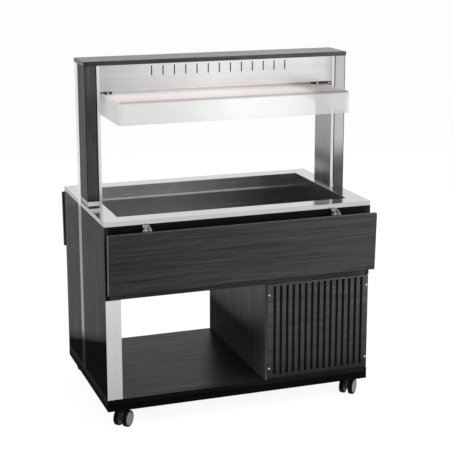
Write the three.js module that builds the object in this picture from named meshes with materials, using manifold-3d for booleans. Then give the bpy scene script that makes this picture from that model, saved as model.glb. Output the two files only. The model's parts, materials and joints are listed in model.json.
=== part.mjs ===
// Mobile chilled salad bar: a laminate cabinet on casters with a steel cold well, an open
// storage bay, a ventilated machine bay, two fold-down tray flaps and a lit hood with a
// clear breath guard. Millimetres, +Z up, origin on the floor under the middle of the body.
// The front faces -Y. "side" is -1 for the left and +1 for the right.
import * as THREE from 'three';
import { mergeVertices } from 'three/addons/utils/BufferGeometryUtils.js';
import Module from 'manifold-3d';

const wasm = await Module();
wasm.setup();

// ---- driving sizes -------------------------------------------------------------------

const fit = 0.3; // gap left between pieces that touch
const runningFit = 0.1; // a shaft's clearance in its bore
const sheet = 2; // stainless sheet
const thinSheet = 1.5;

// body
const bodyWidth = 1160;
const bodyDepth = 727;
const baseClearance = 75; // floor to the underside of the base
const baseThickness = 32;
const boardThickness = 18; // laminate boards
const storageHeight = 424; // clear height of the storage bay
const upperBodyHeight = 303; // from the bays' ceiling to the top of the boards
const wallWidth = 63; // left wall, seen from the front
const machineBayWidth = 440;
const dividerLip = 12; // edge of the divider beside the grille
const trimReturn = 26;

// worktop and well
const worktopEdge = 19;
const wellEndBorder = 76; // worktop beside the well
const wellSideBorder = 81.5; // worktop in front of and behind it
const wellFall = 230; // worktop to well floor
const ledgeDrop = 59; // worktop to the ledges that carry the pans
const ledgeWidth = 17;
const wellFlange = 12;
const foamGap = 2.5;

// hood
const uprightHeight = 587; // worktop to the underside of the top board
const uprightWidth = 62;
const uprightDepth = 174;
const uprightInset = 2; // upright's outer face behind the body's side
const columnWidth = 50; // along Y
const columnDepth = 40; // along X
const columnWall = 3;
const flangeWidth = 12; // bright strip at the upright's inner edge
const coverGroove = 3;
const coverSheet = 3;
const footHeight = 24;
const footShadow = 6; // recess under the foot
const footInset = 4;
const boardOverhang = 2; // top board past the body's sides
const boardReach = 1; // top board past the uprights, front and back
const fasciaHeight = 108;
const fasciaInset = 1;
const fasciaHem = 16;
const fasciaSlots = 13;
const fasciaSlotPitch = 49.25;
const fasciaSlotWidth = 5;
const fasciaSlotHeight = 40;
const fasciaSlotDrop = 8; // top board to the slots

// lamp
const tubeDiameter = 26;
const tubeDrop = 91; // top board to the tube's axis
const lampStart = 46; // left upright to the lamp housing
const lampEnd = 16.4; // lamp housing to the right upright
const lampWidth = 60;
const lampHeight = 68;
const holderLength = 14;
const holderReach = 15; // holder below the tube's axis
const driverLength = 121;
const driverHeight = 34;

// breath guard
const guardGap = 18; // upright to the guard
const guardDepth = 640;
const guardHeight = 94;
const guardDrop = 10; // fascia's lower edge to the guard's top
const guardWall = 5;
const guardCorner = 20;
const guardBend = 13;
const railLap = 12; // rail over the guard
const railMargin = 7; // rail's end to the upright's edge
const railThickness = 3;
const railUpstand = 9;

// tray flaps
const flapHeight = 247;
const flapTilt = 2.5; // degrees, lower edge towards the body
const pivotOut = 26.5; // pivot in front of the body
const pivotDrop = 40; // worktop to the pivot
const flapOut = 40; // pivot to the flap's outer face
const flapRise = 2.5; // flap's top edge above the pivot
const bracketInset = 170; // body's side to the bracket
const bracketWidth = 28;
const bracketSheet = 2.5;
const pinRadius = 4;
const pinHead = 6;
const pinHeadLength = 2;
const armLength = 150;
const armDepth = 10;
const heelWidth = 8; // arm's heel, which meets a tab when the flap is raised
const restReach = 8; // tab that the hanging arm leans on: its edge and its drop below the pivot
const restDrop = 22;
const bracketFoot = 34;

// grilles
const grilleThickness = 12;
const grilleInset = 2; // grille's edge behind the body's side
const grilleFoot = 3; // base board to the grille
const grilleSlots = 15;
const grilleSlotMargin = 25.5; // grille's edge to its first slot
const grilleSlotWidth = 12;
const grilleSlotFoot = 17; // grille's lower edge to the slots
const grilleSlotHead = 9; // slots to the front grille's top edge
const panelSlotGap = 25; // rear slots to the control panel

// casters
const wheelDiameter = 70;
const wheelWidth = 20;
const wheelGap = 20;
const casterEndInset = 77; // body's side to the swivel axis
const casterSideInset = 30.5;
const casterTrail = 11;
const casterYaw = 44; // degrees
const swivelRadius = 23;
const swivelHeight = 4;
const stemRadius = 6;
const stemLength = 25;
const forkWidth = 16;
const axleRadius = 4;
const discRadius = 29;

// machine bay
const compressorInset = 130; // from the body's right side
const compressorSetback = 213.5; // from the body's rear
const compressorRadius = 72;
const compressorHeight = 170;
const condenserStart = 28; // divider to the condenser
const condenserEnd = 92; // condenser to the bay's right side
const condenserHeight = 274;
const condenserDepth = 40;
const condenserSetback = 38.5; // body's front to the condenser
const endPlate = 3;
const fanMargin = 33; // blade tips to the condenser's edge
const tipGap = 6;
const fanGap = 8; // shroud to the hub
const motorGap = 5; // hub to the motor
const motorSetback = 45; // shroud to the motor
const bladeChord = 40;
const bladeThickness = 2.5;
const bladeRoot = 6; // blade inside the hub
const strutWidth = 16;
const strutThickness = 4;
const fanHub = 28;
const fanBlades = 5;
const fanPitch = 32; // degrees
const ringDepth = 27;
const motorRadius = 35;
const motorLength = 45;
const shaftRadius = 4;
const shaftLength = 22;
const evaporatorEndInset = 84; // well's wall to the evaporator
const evaporatorSideInset = 52;
const evaporatorThickness = 10;
const lineRadius = 5;
const lineBend = 33;
const drainInset = 118; // divider to the drain
const drainY = 60;
const drainBore = 10;
const drainRadius = 15;
const drainFlange = 28;
const drainClearance = 26; // pipe's end above the base board
const valveHeight = 170; // pipe's end to the valve's axis
const valveSize = 38;
const leverLength = 70;

// rear controls
const panelWidth = 240;
const panelHeight = 90;
const panelSheet = 2.5;
const panelBoxDepth = 22;
const panelBoxMargin = 12;
const panelDrop = 62; // bays' ceiling to the panel's middle
const rockerWidth = 20;
const rockerHeight = 26;
const rockerDepth = 12;
const rockerTilt = 8; // degrees
const rockerClearance = 1.6;
const inletWidth = 28;
const inletHeight = 22;
const inletDepth = 17;
const knobRadius = 17;
const knobLength = 15;
const inletOffset = -82; // places along the panel, from its middle
const powerOffset = -38;
const lampSwitchOffset = -4;
const knobOffset = 60;

// ---- places worked out from them -----------------------------------------------------

const halfWidth = bodyWidth / 2;
const halfDepth = bodyDepth / 2;
const baseTop = baseClearance + baseThickness;
const shelfTop = baseTop + boardThickness;
const upperBottom = shelfTop + storageHeight;
const boardsTop = upperBottom + upperBodyHeight;
const worktopTop = boardsTop + worktopEdge;
const hoodTop = worktopTop + uprightHeight;
const casterX = halfWidth - casterEndInset;
const casterY = halfDepth - casterSideInset;
const storageLeft = -halfWidth + wallWidth;
const bayRight = halfWidth - boardThickness;
const bayLeft = bayRight - machineBayWidth;
const storageRight = bayLeft - boardThickness;
const grilleLeft = storageRight + dividerLip;
const grilleRight = halfWidth - grilleInset;
const columnBack = uprightDepth / 2;
const columnFront = columnBack - columnWidth;
const uprightOuter = halfWidth - uprightInset;
const uprightInner = uprightOuter - uprightWidth;
const fasciaBottom = hoodTop - fasciaHeight;
const guardTop = fasciaBottom - guardDrop;
const guardWidth = 2 * (uprightInner - guardGap);
const wellWidth = bodyWidth - 2 * wellEndBorder;
const wellDepth = bodyDepth - 2 * wellSideBorder;
const wellFloor = worktopTop - wellFall;
const ledgeTop = worktopTop - ledgeDrop;
const evaporatorTop = wellFloor - thinSheet - fit;
const panelX = (grilleLeft + grilleRight) / 2;
const panelZ = upperBottom - panelDrop;
const compressorX = halfWidth - compressorInset;
const compressorY = halfDepth - compressorSetback;
const lineX = compressorX + compressorRadius * 0.55;
const evaporatorWidth = wellWidth - 2 * evaporatorEndInset;
const evaporatorDepth = wellDepth - 2 * evaporatorSideInset;
const drainX = bayLeft + drainInset;
const drainEnd = shelfTop + drainClearance;
const valveZ = drainEnd + valveHeight;

// ---- materials -----------------------------------------------------------------------

const finish = (color, roughness, metalness) => ({ color, roughness, metalness });
const laminate = finish(0x35353a, 0.55, 0);
const blackLaminate = finish(0x141416, 0.5, 0);
const boardLaminate = finish(0x3c3c40, 0.4, 0);
const stainless = finish(0xc6c8ca, 0.32, 0.95);
const wellSteel = finish(0x8c8e90, 0.28, 0.95);
const acrylic = finish(0xeef2f4, 0.08, 0);
const foam = finish(0xd8c690, 0.9, 0);
const blackPaint = finish(0x18181a, 0.5, 0.2);
const blackPlastic = finish(0x161618, 0.45, 0);
const aluminium = finish(0xb4b7ba, 0.45, 0.9);
const copper = finish(0xb56d46, 0.35, 0.95);
const brass = finish(0xb79a55, 0.35, 0.95);
const glow = finish(0xffe2cf, 0.4, 0);
const caster = finish(0x1c1c1e, 0.55, 0);

// ---- geometry helpers ----------------------------------------------------------------

function toSolid(geometry) {
  const bare = geometry.clone();
  bare.deleteAttribute('normal');
  bare.deleteAttribute('uv');
  const merged = mergeVertices(bare, 1e-4);
  const vertProperties = new Float32Array(merged.attributes.position.array);
  const triVerts = new Uint32Array(merged.index.array);
  return new wasm.Manifold(new wasm.Mesh({ numProp: 3, vertProperties, triVerts }));
}

function toGeometry(solid) {
  const mesh = solid.getMesh();
  const geometry = new THREE.BufferGeometry();
  geometry.setAttribute('position', new THREE.BufferAttribute(new Float32Array(mesh.vertProperties), 3));
  geometry.setIndex(new THREE.BufferAttribute(new Uint32Array(mesh.triVerts), 1));
  geometry.computeVertexNormals();
  return geometry;
}

function join(...geometries) {
  return toGeometry(geometries.map(toSolid).reduce((a, b) => a.add(b)));
}

function cut(geometry, ...tools) {
  return toGeometry(tools.map(toSolid).reduce((a, b) => a.subtract(b), toSolid(geometry)));
}

function slab(x0, x1, y0, y1, z0, z1) {
  const geometry = new THREE.BoxGeometry(Math.abs(x1 - x0), Math.abs(y1 - y0), Math.abs(z1 - z0));
  return geometry.translate((x0 + x1) / 2, (y0 + y1) / 2, (z0 + z1) / 2);
}

function outline(points) {
  return new THREE.Shape(points.map(([a, b]) => new THREE.Vector2(a, b)));
}

function prismZ(points, z0, z1) {
  const geometry = new THREE.ExtrudeGeometry(outline(points), { depth: z1 - z0, bevelEnabled: false });
  return geometry.translate(0, 0, z0);
}

// outline in (y, z), carried along X
function prismX(points, x0, x1) {
  const geometry = new THREE.ExtrudeGeometry(outline(points), { depth: x1 - x0, bevelEnabled: false });
  const turn = new THREE.Matrix4().makeBasis(
    new THREE.Vector3(0, 1, 0),
    new THREE.Vector3(0, 0, 1),
    new THREE.Vector3(1, 0, 0),
  );
  return geometry.applyMatrix4(turn).translate(x0, 0, 0);
}

function rodZ(radius, x, y, z0, z1, sides = 24) {
  const geometry = new THREE.CylinderGeometry(radius, radius, z1 - z0, sides);
  return geometry.rotateX(Math.PI / 2).translate(x, y, (z0 + z1) / 2);
}

function rodY(radius, x, z, y0, y1, sides = 24) {
  const geometry = new THREE.CylinderGeometry(radius, radius, y1 - y0, sides);
  return geometry.translate(x, (y0 + y1) / 2, z);
}

function rodX(radius, y, z, x0, x1, sides = 16) {
  const geometry = new THREE.CylinderGeometry(radius, radius, x1 - x0, sides);
  return geometry.rotateZ(Math.PI / 2).translate((x0 + x1) / 2, y, z);
}

function roundedPlan(width, depth, radius, steps) {
  const shape = new THREE.Shape();
  const x = width / 2;
  const y = depth / 2;
  shape.moveTo(-x + radius, -y);
  shape.lineTo(x - radius, -y);
  shape.absarc(x - radius, -y + radius, radius, -Math.PI / 2, 0, false);
  shape.lineTo(x, y - radius);
  shape.absarc(x - radius, y - radius, radius, 0, Math.PI / 2, false);
  shape.lineTo(-x + radius, y);
  shape.absarc(-x + radius, y - radius, radius, Math.PI / 2, Math.PI, false);
  shape.lineTo(-x, -y + radius);
  shape.absarc(-x + radius, -y + radius, radius, Math.PI, Math.PI * 1.5, false);
  return shape.extractPoints(steps).shape;
}

// every other solid here is described in the body's own frame
function piece(name, geometry, look) {
  const mesh = new THREE.Mesh(geometry, new THREE.MeshStandardMaterial(look));
  mesh.name = name;
  return mesh;
}

const sideName = (side) => (side < 0 ? 'left' : 'right');
const endName = (end) => (end < 0 ? 'front' : 'rear');
const sides = [-1, 1];
const model = new THREE.Group();

// ---- base ----------------------------------------------------------------------------

function baseGeometry() {
  const block = slab(-halfWidth, halfWidth, -halfDepth, halfDepth, baseClearance, baseTop - fit);
  const sockets = sides.flatMap((side) => sides.map((end) => rodZ(
    stemRadius + runningFit,
    side * casterX,
    end * casterY,
    baseClearance - 1,
    baseClearance + stemLength,
  )));
  return cut(block, ...sockets);
}

model.add(piece('base_frame', baseGeometry(), blackLaminate));
const baseBoard = slab(-halfWidth, halfWidth, -halfDepth, halfDepth, baseTop, shelfTop);
model.add(piece('base_board', baseBoard, laminate));

// ---- cabinet boards ------------------------------------------------------------------

// a side is two boards with the steel column between them; each board steps back at the
// lower outer corner for the trim or the grille in front of it
function claddingGeometry(side, end) {
  const outer = halfDepth;
  const step = outer - (side < 0 ? sheet : grilleThickness) - fit;
  const seam = end < 0 ? -columnFront + fit : columnBack + fit;
  const points = [
    [end * seam, shelfTop + fit],
    [end * step, shelfTop + fit],
    [end * step, upperBottom + fit],
    [end * outer, upperBottom + fit],
    [end * outer, boardsTop - fit],
    [end * seam, boardsTop - fit],
  ];
  const x0 = side < 0 ? -halfWidth : halfWidth - boardThickness;
  return prismX(end < 0 ? points.reverse() : points, x0, x0 + boardThickness);
}

for (const side of sides) {
  for (const end of sides) {
    const name = `${sideName(side)}_${endName(end)}_cladding`;
    model.add(piece(name, claddingGeometry(side, end), laminate));
  }
}

const insideX = halfWidth - boardThickness - fit;
const insideY = halfDepth - boardThickness - fit;
for (const end of sides) {
  const apron = slab(
    -insideX,
    insideX,
    end * halfDepth,
    end * (halfDepth - boardThickness),
    upperBottom + fit,
    boardsTop - fit,
  );
  model.add(piece(`${endName(end)}_apron`, apron, laminate));
}

const wallReach = halfDepth - sheet - fit;
const innerWallFace = storageLeft - sheet - fit;
const innerWall = slab(
  innerWallFace - boardThickness,
  innerWallFace,
  -wallReach,
  wallReach,
  shelfTop + fit,
  upperBottom - fit,
);
model.add(piece('left_inner_wall', innerWall, laminate));

// folded steel cap over the left wall's edge
function trimGeometry(end) {
  const face = end * halfDepth;
  const back = end * (halfDepth - sheet);
  const deep = end * (halfDepth - trimReturn);
  const z0 = shelfTop + fit;
  return join(
    slab(-halfWidth, storageLeft, face, back, z0, upperBottom),
    slab(storageLeft - sheet, storageLeft, face, deep, z0, upperBottom),
  );
}

for (const end of sides) {
  model.add(piece(`left_${endName(end)}_trim`, trimGeometry(end), stainless));
}

const dividerReach = halfDepth - grilleThickness - fit;
const divider = prismZ([
  [storageRight, -halfDepth],
  [grilleLeft - fit, -halfDepth],
  [grilleLeft - fit, -dividerReach],
  [bayLeft, -dividerReach],
  [bayLeft, dividerReach],
  [grilleLeft - fit, dividerReach],
  [grilleLeft - fit, halfDepth],
  [storageRight, halfDepth],
], shelfTop + fit, upperBottom - fit);
model.add(piece('divider_wall', divider, laminate));

// ---- grilles -------------------------------------------------------------------------

const slotsBottom = shelfTop + grilleFoot + grilleSlotFoot;
const grilleTop = upperBottom - sheet;
const frontSlotsTop = grilleTop - grilleSlotHead;
const rearSlotsTop = panelZ - panelHeight / 2 - panelSlotGap;
const slotRun = grilleRight - grilleLeft - 2 * grilleSlotMargin - grilleSlotWidth;
const grilleSlotPitch = slotRun / (grilleSlots - 1);

function grilleGeometry(end, slotsTop) {
  const face = end * halfDepth;
  const back = face - end * grilleThickness;
  const tools = [];
  for (let i = 0; i < grilleSlots; i += 1) {
    const x = panelX + (i - (grilleSlots - 1) / 2) * grilleSlotPitch;
    const half = grilleSlotWidth / 2;
    tools.push(slab(x - half, x + half, face + end, back - end, slotsBottom, slotsTop));
  }
  if (end > 0) {
    const x = panelWidth / 2 - panelBoxMargin + fit;
    const z = panelHeight / 2 - panelBoxMargin + fit;
    tools.push(slab(panelX - x, panelX + x, face + end, back - end, panelZ - z, panelZ + z));
  }
  return cut(
    slab(grilleLeft, grilleRight, face, back, shelfTop + grilleFoot, grilleTop),
    ...tools,
  );
}

model.add(piece('front_grille', grilleGeometry(-1, frontSlotsTop), laminate));
model.add(piece('rear_grille', grilleGeometry(1, rearSlotsTop), laminate));

// ---- upper body ----------------------------------------------------------------------

function columnNotch(side, z0, z1) {
  const inner = halfWidth - columnDepth - fit;
  return slab(side * inner, side * (halfWidth + 1), columnFront - fit, columnBack + fit, z0, z1);
}

function lineChannel(z0, z1) {
  const half = lineRadius + 3;
  return slab(evaporatorWidth / 2 - 1, lineX + half, compressorY - half, compressorY + half, z0, z1);
}

const drainHole = (z0, z1) => rodZ(drainRadius + 2, drainX, drainY, z0, z1);

const casing = cut(
  slab(-insideX, insideX, -insideY, insideY, upperBottom, upperBottom + sheet),
  columnNotch(-1, upperBottom - 1, upperBottom + sheet + 1),
  columnNotch(1, upperBottom - 1, upperBottom + sheet + 1),
  lineChannel(upperBottom - 1, upperBottom + sheet + 1),
  drainHole(upperBottom - 1, upperBottom + sheet + 1),
);
model.add(piece('well_casing', casing, stainless));

// the well narrows below the ledges of its two long walls
function wellBlock(grow, lowerZ, upperZ, topZ) {
  const x = wellWidth / 2 + grow;
  const y = wellDepth / 2 + grow;
  return join(
    slab(-x, x, -y + ledgeWidth, y - ledgeWidth, lowerZ, topZ),
    slab(-x, x, -y, y, upperZ, topZ),
  );
}

const wellTop = worktopTop - sheet - fit;
function wellGeometry() {
  const flangeX = wellWidth / 2 + wellFlange;
  const flangeY = wellDepth / 2 + wellFlange;
  const outer = join(
    wellBlock(thinSheet, wellFloor - thinSheet, ledgeTop - thinSheet, wellTop),
    slab(-flangeX, flangeX, -flangeY, flangeY, wellTop - thinSheet, wellTop),
  );
  const drain = drainHole(wellFloor - 5, wellFloor + 5);
  return cut(outer, wellBlock(0, wellFloor, ledgeTop, worktopTop), drain);
}

model.add(piece('well_liner', wellGeometry(), wellSteel));

function insulationGeometry() {
  const x = halfWidth - columnDepth - foamGap;
  const y = insideY - foamGap;
  const top = boardsTop - sheet;
  const bottom = upperBottom + sheet + fit;
  const block = slab(-x, x, -y, y, bottom, top);
  const ex = evaporatorWidth / 2 + fit;
  const ey = evaporatorDepth / 2 + fit;
  const evaporatorBottom = evaporatorTop - evaporatorThickness;
  return cut(
    block,
    wellBlock(thinSheet + fit, wellFloor - thinSheet - fit, ledgeTop - thinSheet - fit, top + 1),
    slab(-ex, ex, -ey, ey, evaporatorBottom - fit, wellFloor),
    drainHole(bottom - 1, wellFloor),
    lineChannel(bottom - 1, evaporatorTop),
  );
}

model.add(piece('insulation', insulationGeometry(), foam));

function worktopGeometry() {
  const bottom = boardsTop;
  const block = slab(-halfWidth, halfWidth, -halfDepth, halfDepth, bottom, worktopTop);
  const under = slab(
    -halfWidth + sheet,
    halfWidth - sheet,
    -halfDepth + sheet,
    halfDepth - sheet,
    bottom - 1,
    worktopTop - sheet,
  );
  const opening = slab(
    -wellWidth / 2,
    wellWidth / 2,
    -wellDepth / 2,
    wellDepth / 2,
    bottom - 1,
    worktopTop + 1,
  );
  const notches = sides.map((side) => columnNotch(side, bottom - 1, worktopTop + 1));
  return cut(block, under, opening, ...notches);
}

model.add(piece('worktop', worktopGeometry(), stainless));

// ---- uprights ------------------------------------------------------------------------

function columnGeometry(side) {
  const x0 = side * halfWidth;
  const x1 = side * (halfWidth - columnDepth);
  const bottom = shelfTop + fit;
  const top = hoodTop - fit;
  return cut(
    slab(x0, x1, columnFront, columnBack, bottom, top),
    slab(
      x0 - side * columnWall,
      x1 + side * columnWall,
      columnFront + columnWall,
      columnBack - columnWall,
      bottom - 1,
      top + 1,
    ),
  );
}

// inner plate with its bright flanges, the foot under the cover and the guard's rail
function uprightGeometry(side) {
  const outer = side * uprightOuter;
  const inner = side * uprightInner;
  const web = side * (uprightInner + sheet);
  const lap = side * (uprightInner + sheet / 2);
  const front = -uprightDepth / 2;
  const back = uprightDepth / 2;
  const top = hoodTop - fit;
  const bottom = worktopTop + fit;
  const footTop = worktopTop + footHeight;
  const footBottom = worktopTop + footShadow;
  const columnFace = columnFront - fit;
  const rearEdge = side * (halfWidth - columnDepth - fit);
  return join(
    slab(inner, web, front, back, bottom, top),
    slab(lap, side * (uprightInner + flangeWidth), front, front + sheet, bottom, top),
    slab(lap, rearEdge, back - sheet, back, bottom, top),
    slab(outer, lap, front, front + sheet, footBottom, footTop),
    slab(outer, outer - side * sheet, front, columnFace, footBottom, footTop),
    slab(outer, lap, front, columnFace, footBottom, footBottom + sheet),
    slab(
      outer - side * footInset,
      lap,
      front + footInset,
      columnFace,
      bottom,
      footBottom + sheet / 2,
    ),
    slab(
      lap,
      inner - side * (guardGap + railLap),
      front + railMargin,
      back - railMargin,
      guardTop + fit,
      guardTop + fit + railThickness,
    ),
    slab(
      lap,
      inner - side * railThickness,
      front + railMargin,
      back - railMargin,
      guardTop + fit,
      guardTop + fit + railUpstand,
    ),
  );
}

// folded cover over the upright's front and outer side
function coverGeometry(side) {
  const outer = side * uprightOuter;
  const edge = side * (uprightInner + flangeWidth + coverGroove);
  const front = -uprightDepth / 2;
  const bottom = worktopTop + footHeight + fit;
  const top = hoodTop - fit;
  return join(
    slab(outer, edge, front, front + coverSheet, bottom, top),
    slab(outer, outer - side * coverSheet, front, columnFront - fit, bottom, top),
  );
}

for (const side of sides) {
  const name = sideName(side);
  model.add(piece(`${name}_column`, columnGeometry(side), stainless));
  model.add(piece(`${name}_upright_frame`, uprightGeometry(side), stainless));
  model.add(piece(`${name}_cover`, coverGeometry(side), side < 0 ? laminate : stainless));
}

// ---- hood ----------------------------------------------------------------------------

const topBoard = slab(
  -halfWidth - boardOverhang,
  halfWidth + boardOverhang,
  -uprightDepth / 2 - boardReach,
  uprightDepth / 2 + boardReach,
  hoodTop,
  hoodTop + boardThickness,
);
model.add(piece('top_board', topBoard, boardLaminate));

function fasciaGeometry(end) {
  const half = uprightInner - fit;
  const face = end * (uprightDepth / 2 - fasciaInset);
  const back = face - end * thinSheet;
  const top = hoodTop - fit;
  const slots = [];
  for (let i = 0; i < fasciaSlots; i += 1) {
    const x = (i - (fasciaSlots - 1) / 2) * fasciaSlotPitch;
    const z1 = hoodTop - fasciaSlotDrop;
    const x0 = x - fasciaSlotWidth / 2;
    slots.push(slab(x0, x0 + fasciaSlotWidth, face + end, back - end, z1 - fasciaSlotHeight, z1));
  }
  const folded = join(
    slab(-half, half, face, back, fasciaBottom, top),
    slab(-half, half, face, face - end * fasciaHem, fasciaBottom, fasciaBottom + thinSheet),
  );
  return cut(folded, ...slots);
}

for (const end of sides) {
  model.add(piece(`${endName(end)}_fascia`, fasciaGeometry(end), stainless));
}

const tubeZ = hoodTop - tubeDrop;
const lampLeft = -uprightInner + lampStart;
const tubeLeft = lampLeft + holderLength + fit;
const tubeRight = uprightInner - lampEnd - driverLength - holderLength - fit;
function lampHousingGeometry() {
  const bottom = hoodTop - lampHeight;
  const right = tubeRight + fit + holderLength;
  const holderY = tubeDiameter / 2 + 3;
  const half = lampWidth / 2;
  return join(
    slab(lampLeft, right + driverLength, -half, half, bottom, hoodTop - fit),
    slab(lampLeft, lampLeft + holderLength, -holderY, holderY, tubeZ - holderReach, bottom + 1),
    slab(tubeRight + fit, right, -holderY, holderY, tubeZ - holderReach, bottom + 1),
    slab(right, right + driverLength, -half, half, bottom - driverHeight, bottom + 1),
  );
}

model.add(piece('lamp_housing', lampHousingGeometry(), aluminium));
model.add(piece('lamp_tube', rodX(tubeDiameter / 2, 0, tubeZ, tubeLeft, tubeRight, 20), glow));

// clear tray, open below, with rounded upper edges and corners
function guardGeometry() {
  const shell = (shrink, drop) => {
    const bend = guardBend - shrink;
    const points = roundedPlan(
      guardWidth - 2 * shrink,
      guardDepth - 2 * shrink,
      guardCorner - shrink,
      4,
    );
    const geometry = new THREE.ExtrudeGeometry(new THREE.Shape(points), {
      depth: guardHeight,
      bevelThickness: bend,
      bevelSize: bend,
      bevelOffset: -bend,
      bevelSegments: 3,
    });
    return geometry.translate(0, 0, guardTop - drop - guardHeight - bend);
  };
  const guardBottom = guardTop - guardHeight;
  const below = slab(
    -guardWidth,
    guardWidth,
    -guardDepth,
    guardDepth,
    guardBottom - guardHeight,
    guardBottom,
  );
  return cut(shell(0, 0), shell(guardWall, guardWall), below);
}

model.add(piece('breath_guard', guardGeometry(), acrylic));

// ---- tray flaps ----------------------------------------------------------------------

// both brackets are drawn around the pivot: y towards the body, z up
const plateFace = pivotOut - fit;
const bracketTop = pivotDrop - worktopEdge - 1;
const heelLength = plateFace - bracketSheet - 5;

function fixedBracketGeometry() {
  const half = bracketWidth / 2;
  const ear = [
    [plateFace, bracketTop],
    [-10, 9],
    [-17, 3],
    [-17, -4],
    [-9, -16],
    [-restReach, -restDrop],
    [plateFace, -bracketFoot],
  ].reverse();
  const plate = slab(-half, half, plateFace - bracketSheet, plateFace, -bracketFoot, bracketTop);
  const tab = (y0, y1, z1) => slab(-half + 1, half - 1, y0, y1, z1 - bracketSheet, z1);
  const holes = rodX(pinRadius + runningFit, 0, 0, -half - 1, half + 1);
  return cut(
    join(
      prismX(ear, -half, -half + bracketSheet),
      prismX(ear, half - bracketSheet, half),
      plate,
      tab(heelLength - heelWidth, plateFace - 1, -heelWidth / 2 - fit),
      tab(-restReach, plateFace - 1, -restDrop + bracketSheet),
    ),
    holes,
  );
}

function armGeometry() {
  const half = bracketWidth / 2 - bracketSheet - 0.5;
  const back = -(flapOut - boardThickness) + fit;
  const ear = [
    [-heelWidth / 2, heelLength],
    [heelWidth / 2, heelLength],
    [heelWidth / 2, heelLength - heelWidth],
    [8, 4],
    [8, -4],
    [4, -9],
    [-restReach - 1, -14],
    [-restReach - 1, -restDrop - 2],
    [back + armDepth, -restDrop - 8],
    [back + armDepth, -armLength],
    [back, -armLength],
    [back, flapRise - 1],
    [-8, 6],
  ].reverse();
  const headFace = bracketWidth / 2 + fit;
  return join(
    prismX(ear, -half, -half + bracketSheet),
    prismX(ear, half - bracketSheet, half),
    slab(-half, half, back, back + bracketSheet, -armLength, flapRise - 1),
    rodX(pinRadius, 0, 0, -headFace - 1, headFace + 1),
    rodX(pinHead, 0, 0, headFace, headFace + pinHeadLength),
    rodX(pinHead, 0, 0, -headFace - pinHeadLength, -headFace),
  );
}

for (const end of sides) {
  const flapSide = new THREE.Group();
  flapSide.position.set(0, end * (halfDepth + pivotOut), worktopTop - pivotDrop);
  flapSide.rotation.z = end < 0 ? 0 : Math.PI;
  const hanging = new THREE.Group();
  hanging.rotation.x = THREE.MathUtils.degToRad(flapTilt);
  const flap = slab(
    -halfWidth,
    halfWidth,
    -flapOut,
    -flapOut + boardThickness,
    flapRise - flapHeight,
    flapRise,
  );
  hanging.add(piece(`${endName(end)}_flap`, flap, laminate));
  for (const side of sides) {
    const label = `${endName(end)}_${sideName(side * -end)}`;
    const bracket = piece(`${label}_bracket`, fixedBracketGeometry(), stainless);
    bracket.position.x = side * (halfWidth - bracketInset);
    flapSide.add(bracket);
    const arm = piece(`${label}_arm`, armGeometry(), stainless);
    arm.position.x = side * (halfWidth - bracketInset);
    hanging.add(arm);
  }
  flapSide.add(hanging);
  model.add(flapSide);
}

// ---- casters -------------------------------------------------------------------------

// drawn around the swivel axis, with the wheels trailing along -Y and the axle along X
const wheelRadius = wheelDiameter / 2;
function casterBodyGeometry() {
  const top = baseClearance - fit;
  const neck = swivelRadius * 0.7;
  const r = wheelRadius;
  const fork = prismX([
    [neck, top - swivelHeight / 2],
    [-neck, top - swivelHeight / 2],
    [-casterTrail - r * 0.48, r * 1.63],
    [-casterTrail - r * 0.57, r * 1.14],
    [-casterTrail - r * 0.46, r * 0.69],
    [-casterTrail - r * 0.17, r * 0.48],
    [-casterTrail + r * 0.17, r * 0.48],
    [-casterTrail + r * 0.48, r * 0.74],
    [-casterTrail + r * 0.69, r * 1.23],
  ], -forkWidth / 2, forkWidth / 2);
  const swivel = rodZ(swivelRadius, 0, 0, top - swivelHeight, top);
  const stem = rodZ(stemRadius, 0, 0, top - 1, top + stemLength - 1);
  const bore = rodX(axleRadius + runningFit, -casterTrail, wheelRadius, -forkWidth, forkWidth);
  return cut(join(fork, swivel, stem), bore);
}

// two wheels pressed on one axle, as one turned outline
function wheelPairGeometry() {
  const inner = wheelGap / 2;
  const outer = inner + wheelWidth;
  const half = [
    [0, outer - 1],
    [discRadius - 1, outer - 1],
    [discRadius, outer],
    [wheelRadius - 3, outer],
    [wheelRadius, outer - 3],
    [wheelRadius, inner + 3],
    [wheelRadius - 3, inner],
    [discRadius, inner],
    [discRadius - 1, inner + 1],
    [axleRadius, inner + 1],
  ];
  const mirrored = half.map(([r, x]) => [r, -x]).reverse();
  const points = [...half, ...mirrored].reverse().map(([r, x]) => new THREE.Vector2(r, x));
  const geometry = new THREE.LatheGeometry(points, 24);
  return geometry.rotateZ(-Math.PI / 2).translate(0, -casterTrail, wheelRadius);
}

for (const side of sides) {
  for (const end of sides) {
    const swivel = new THREE.Group();
    swivel.position.set(side * casterX, end * casterY, 0);
    swivel.rotation.z = THREE.MathUtils.degToRad(side < 0 ? -casterYaw : 180 - casterYaw);
    const label = `${endName(end)}_${sideName(side)}`;
    swivel.add(piece(`caster_${label}`, casterBodyGeometry(), caster));
    swivel.add(piece(`wheels_${label}`, wheelPairGeometry(), caster));
    model.add(swivel);
  }
}

// ---- machine bay ---------------------------------------------------------------------

const bayFloor = shelfTop + fit;

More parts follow.
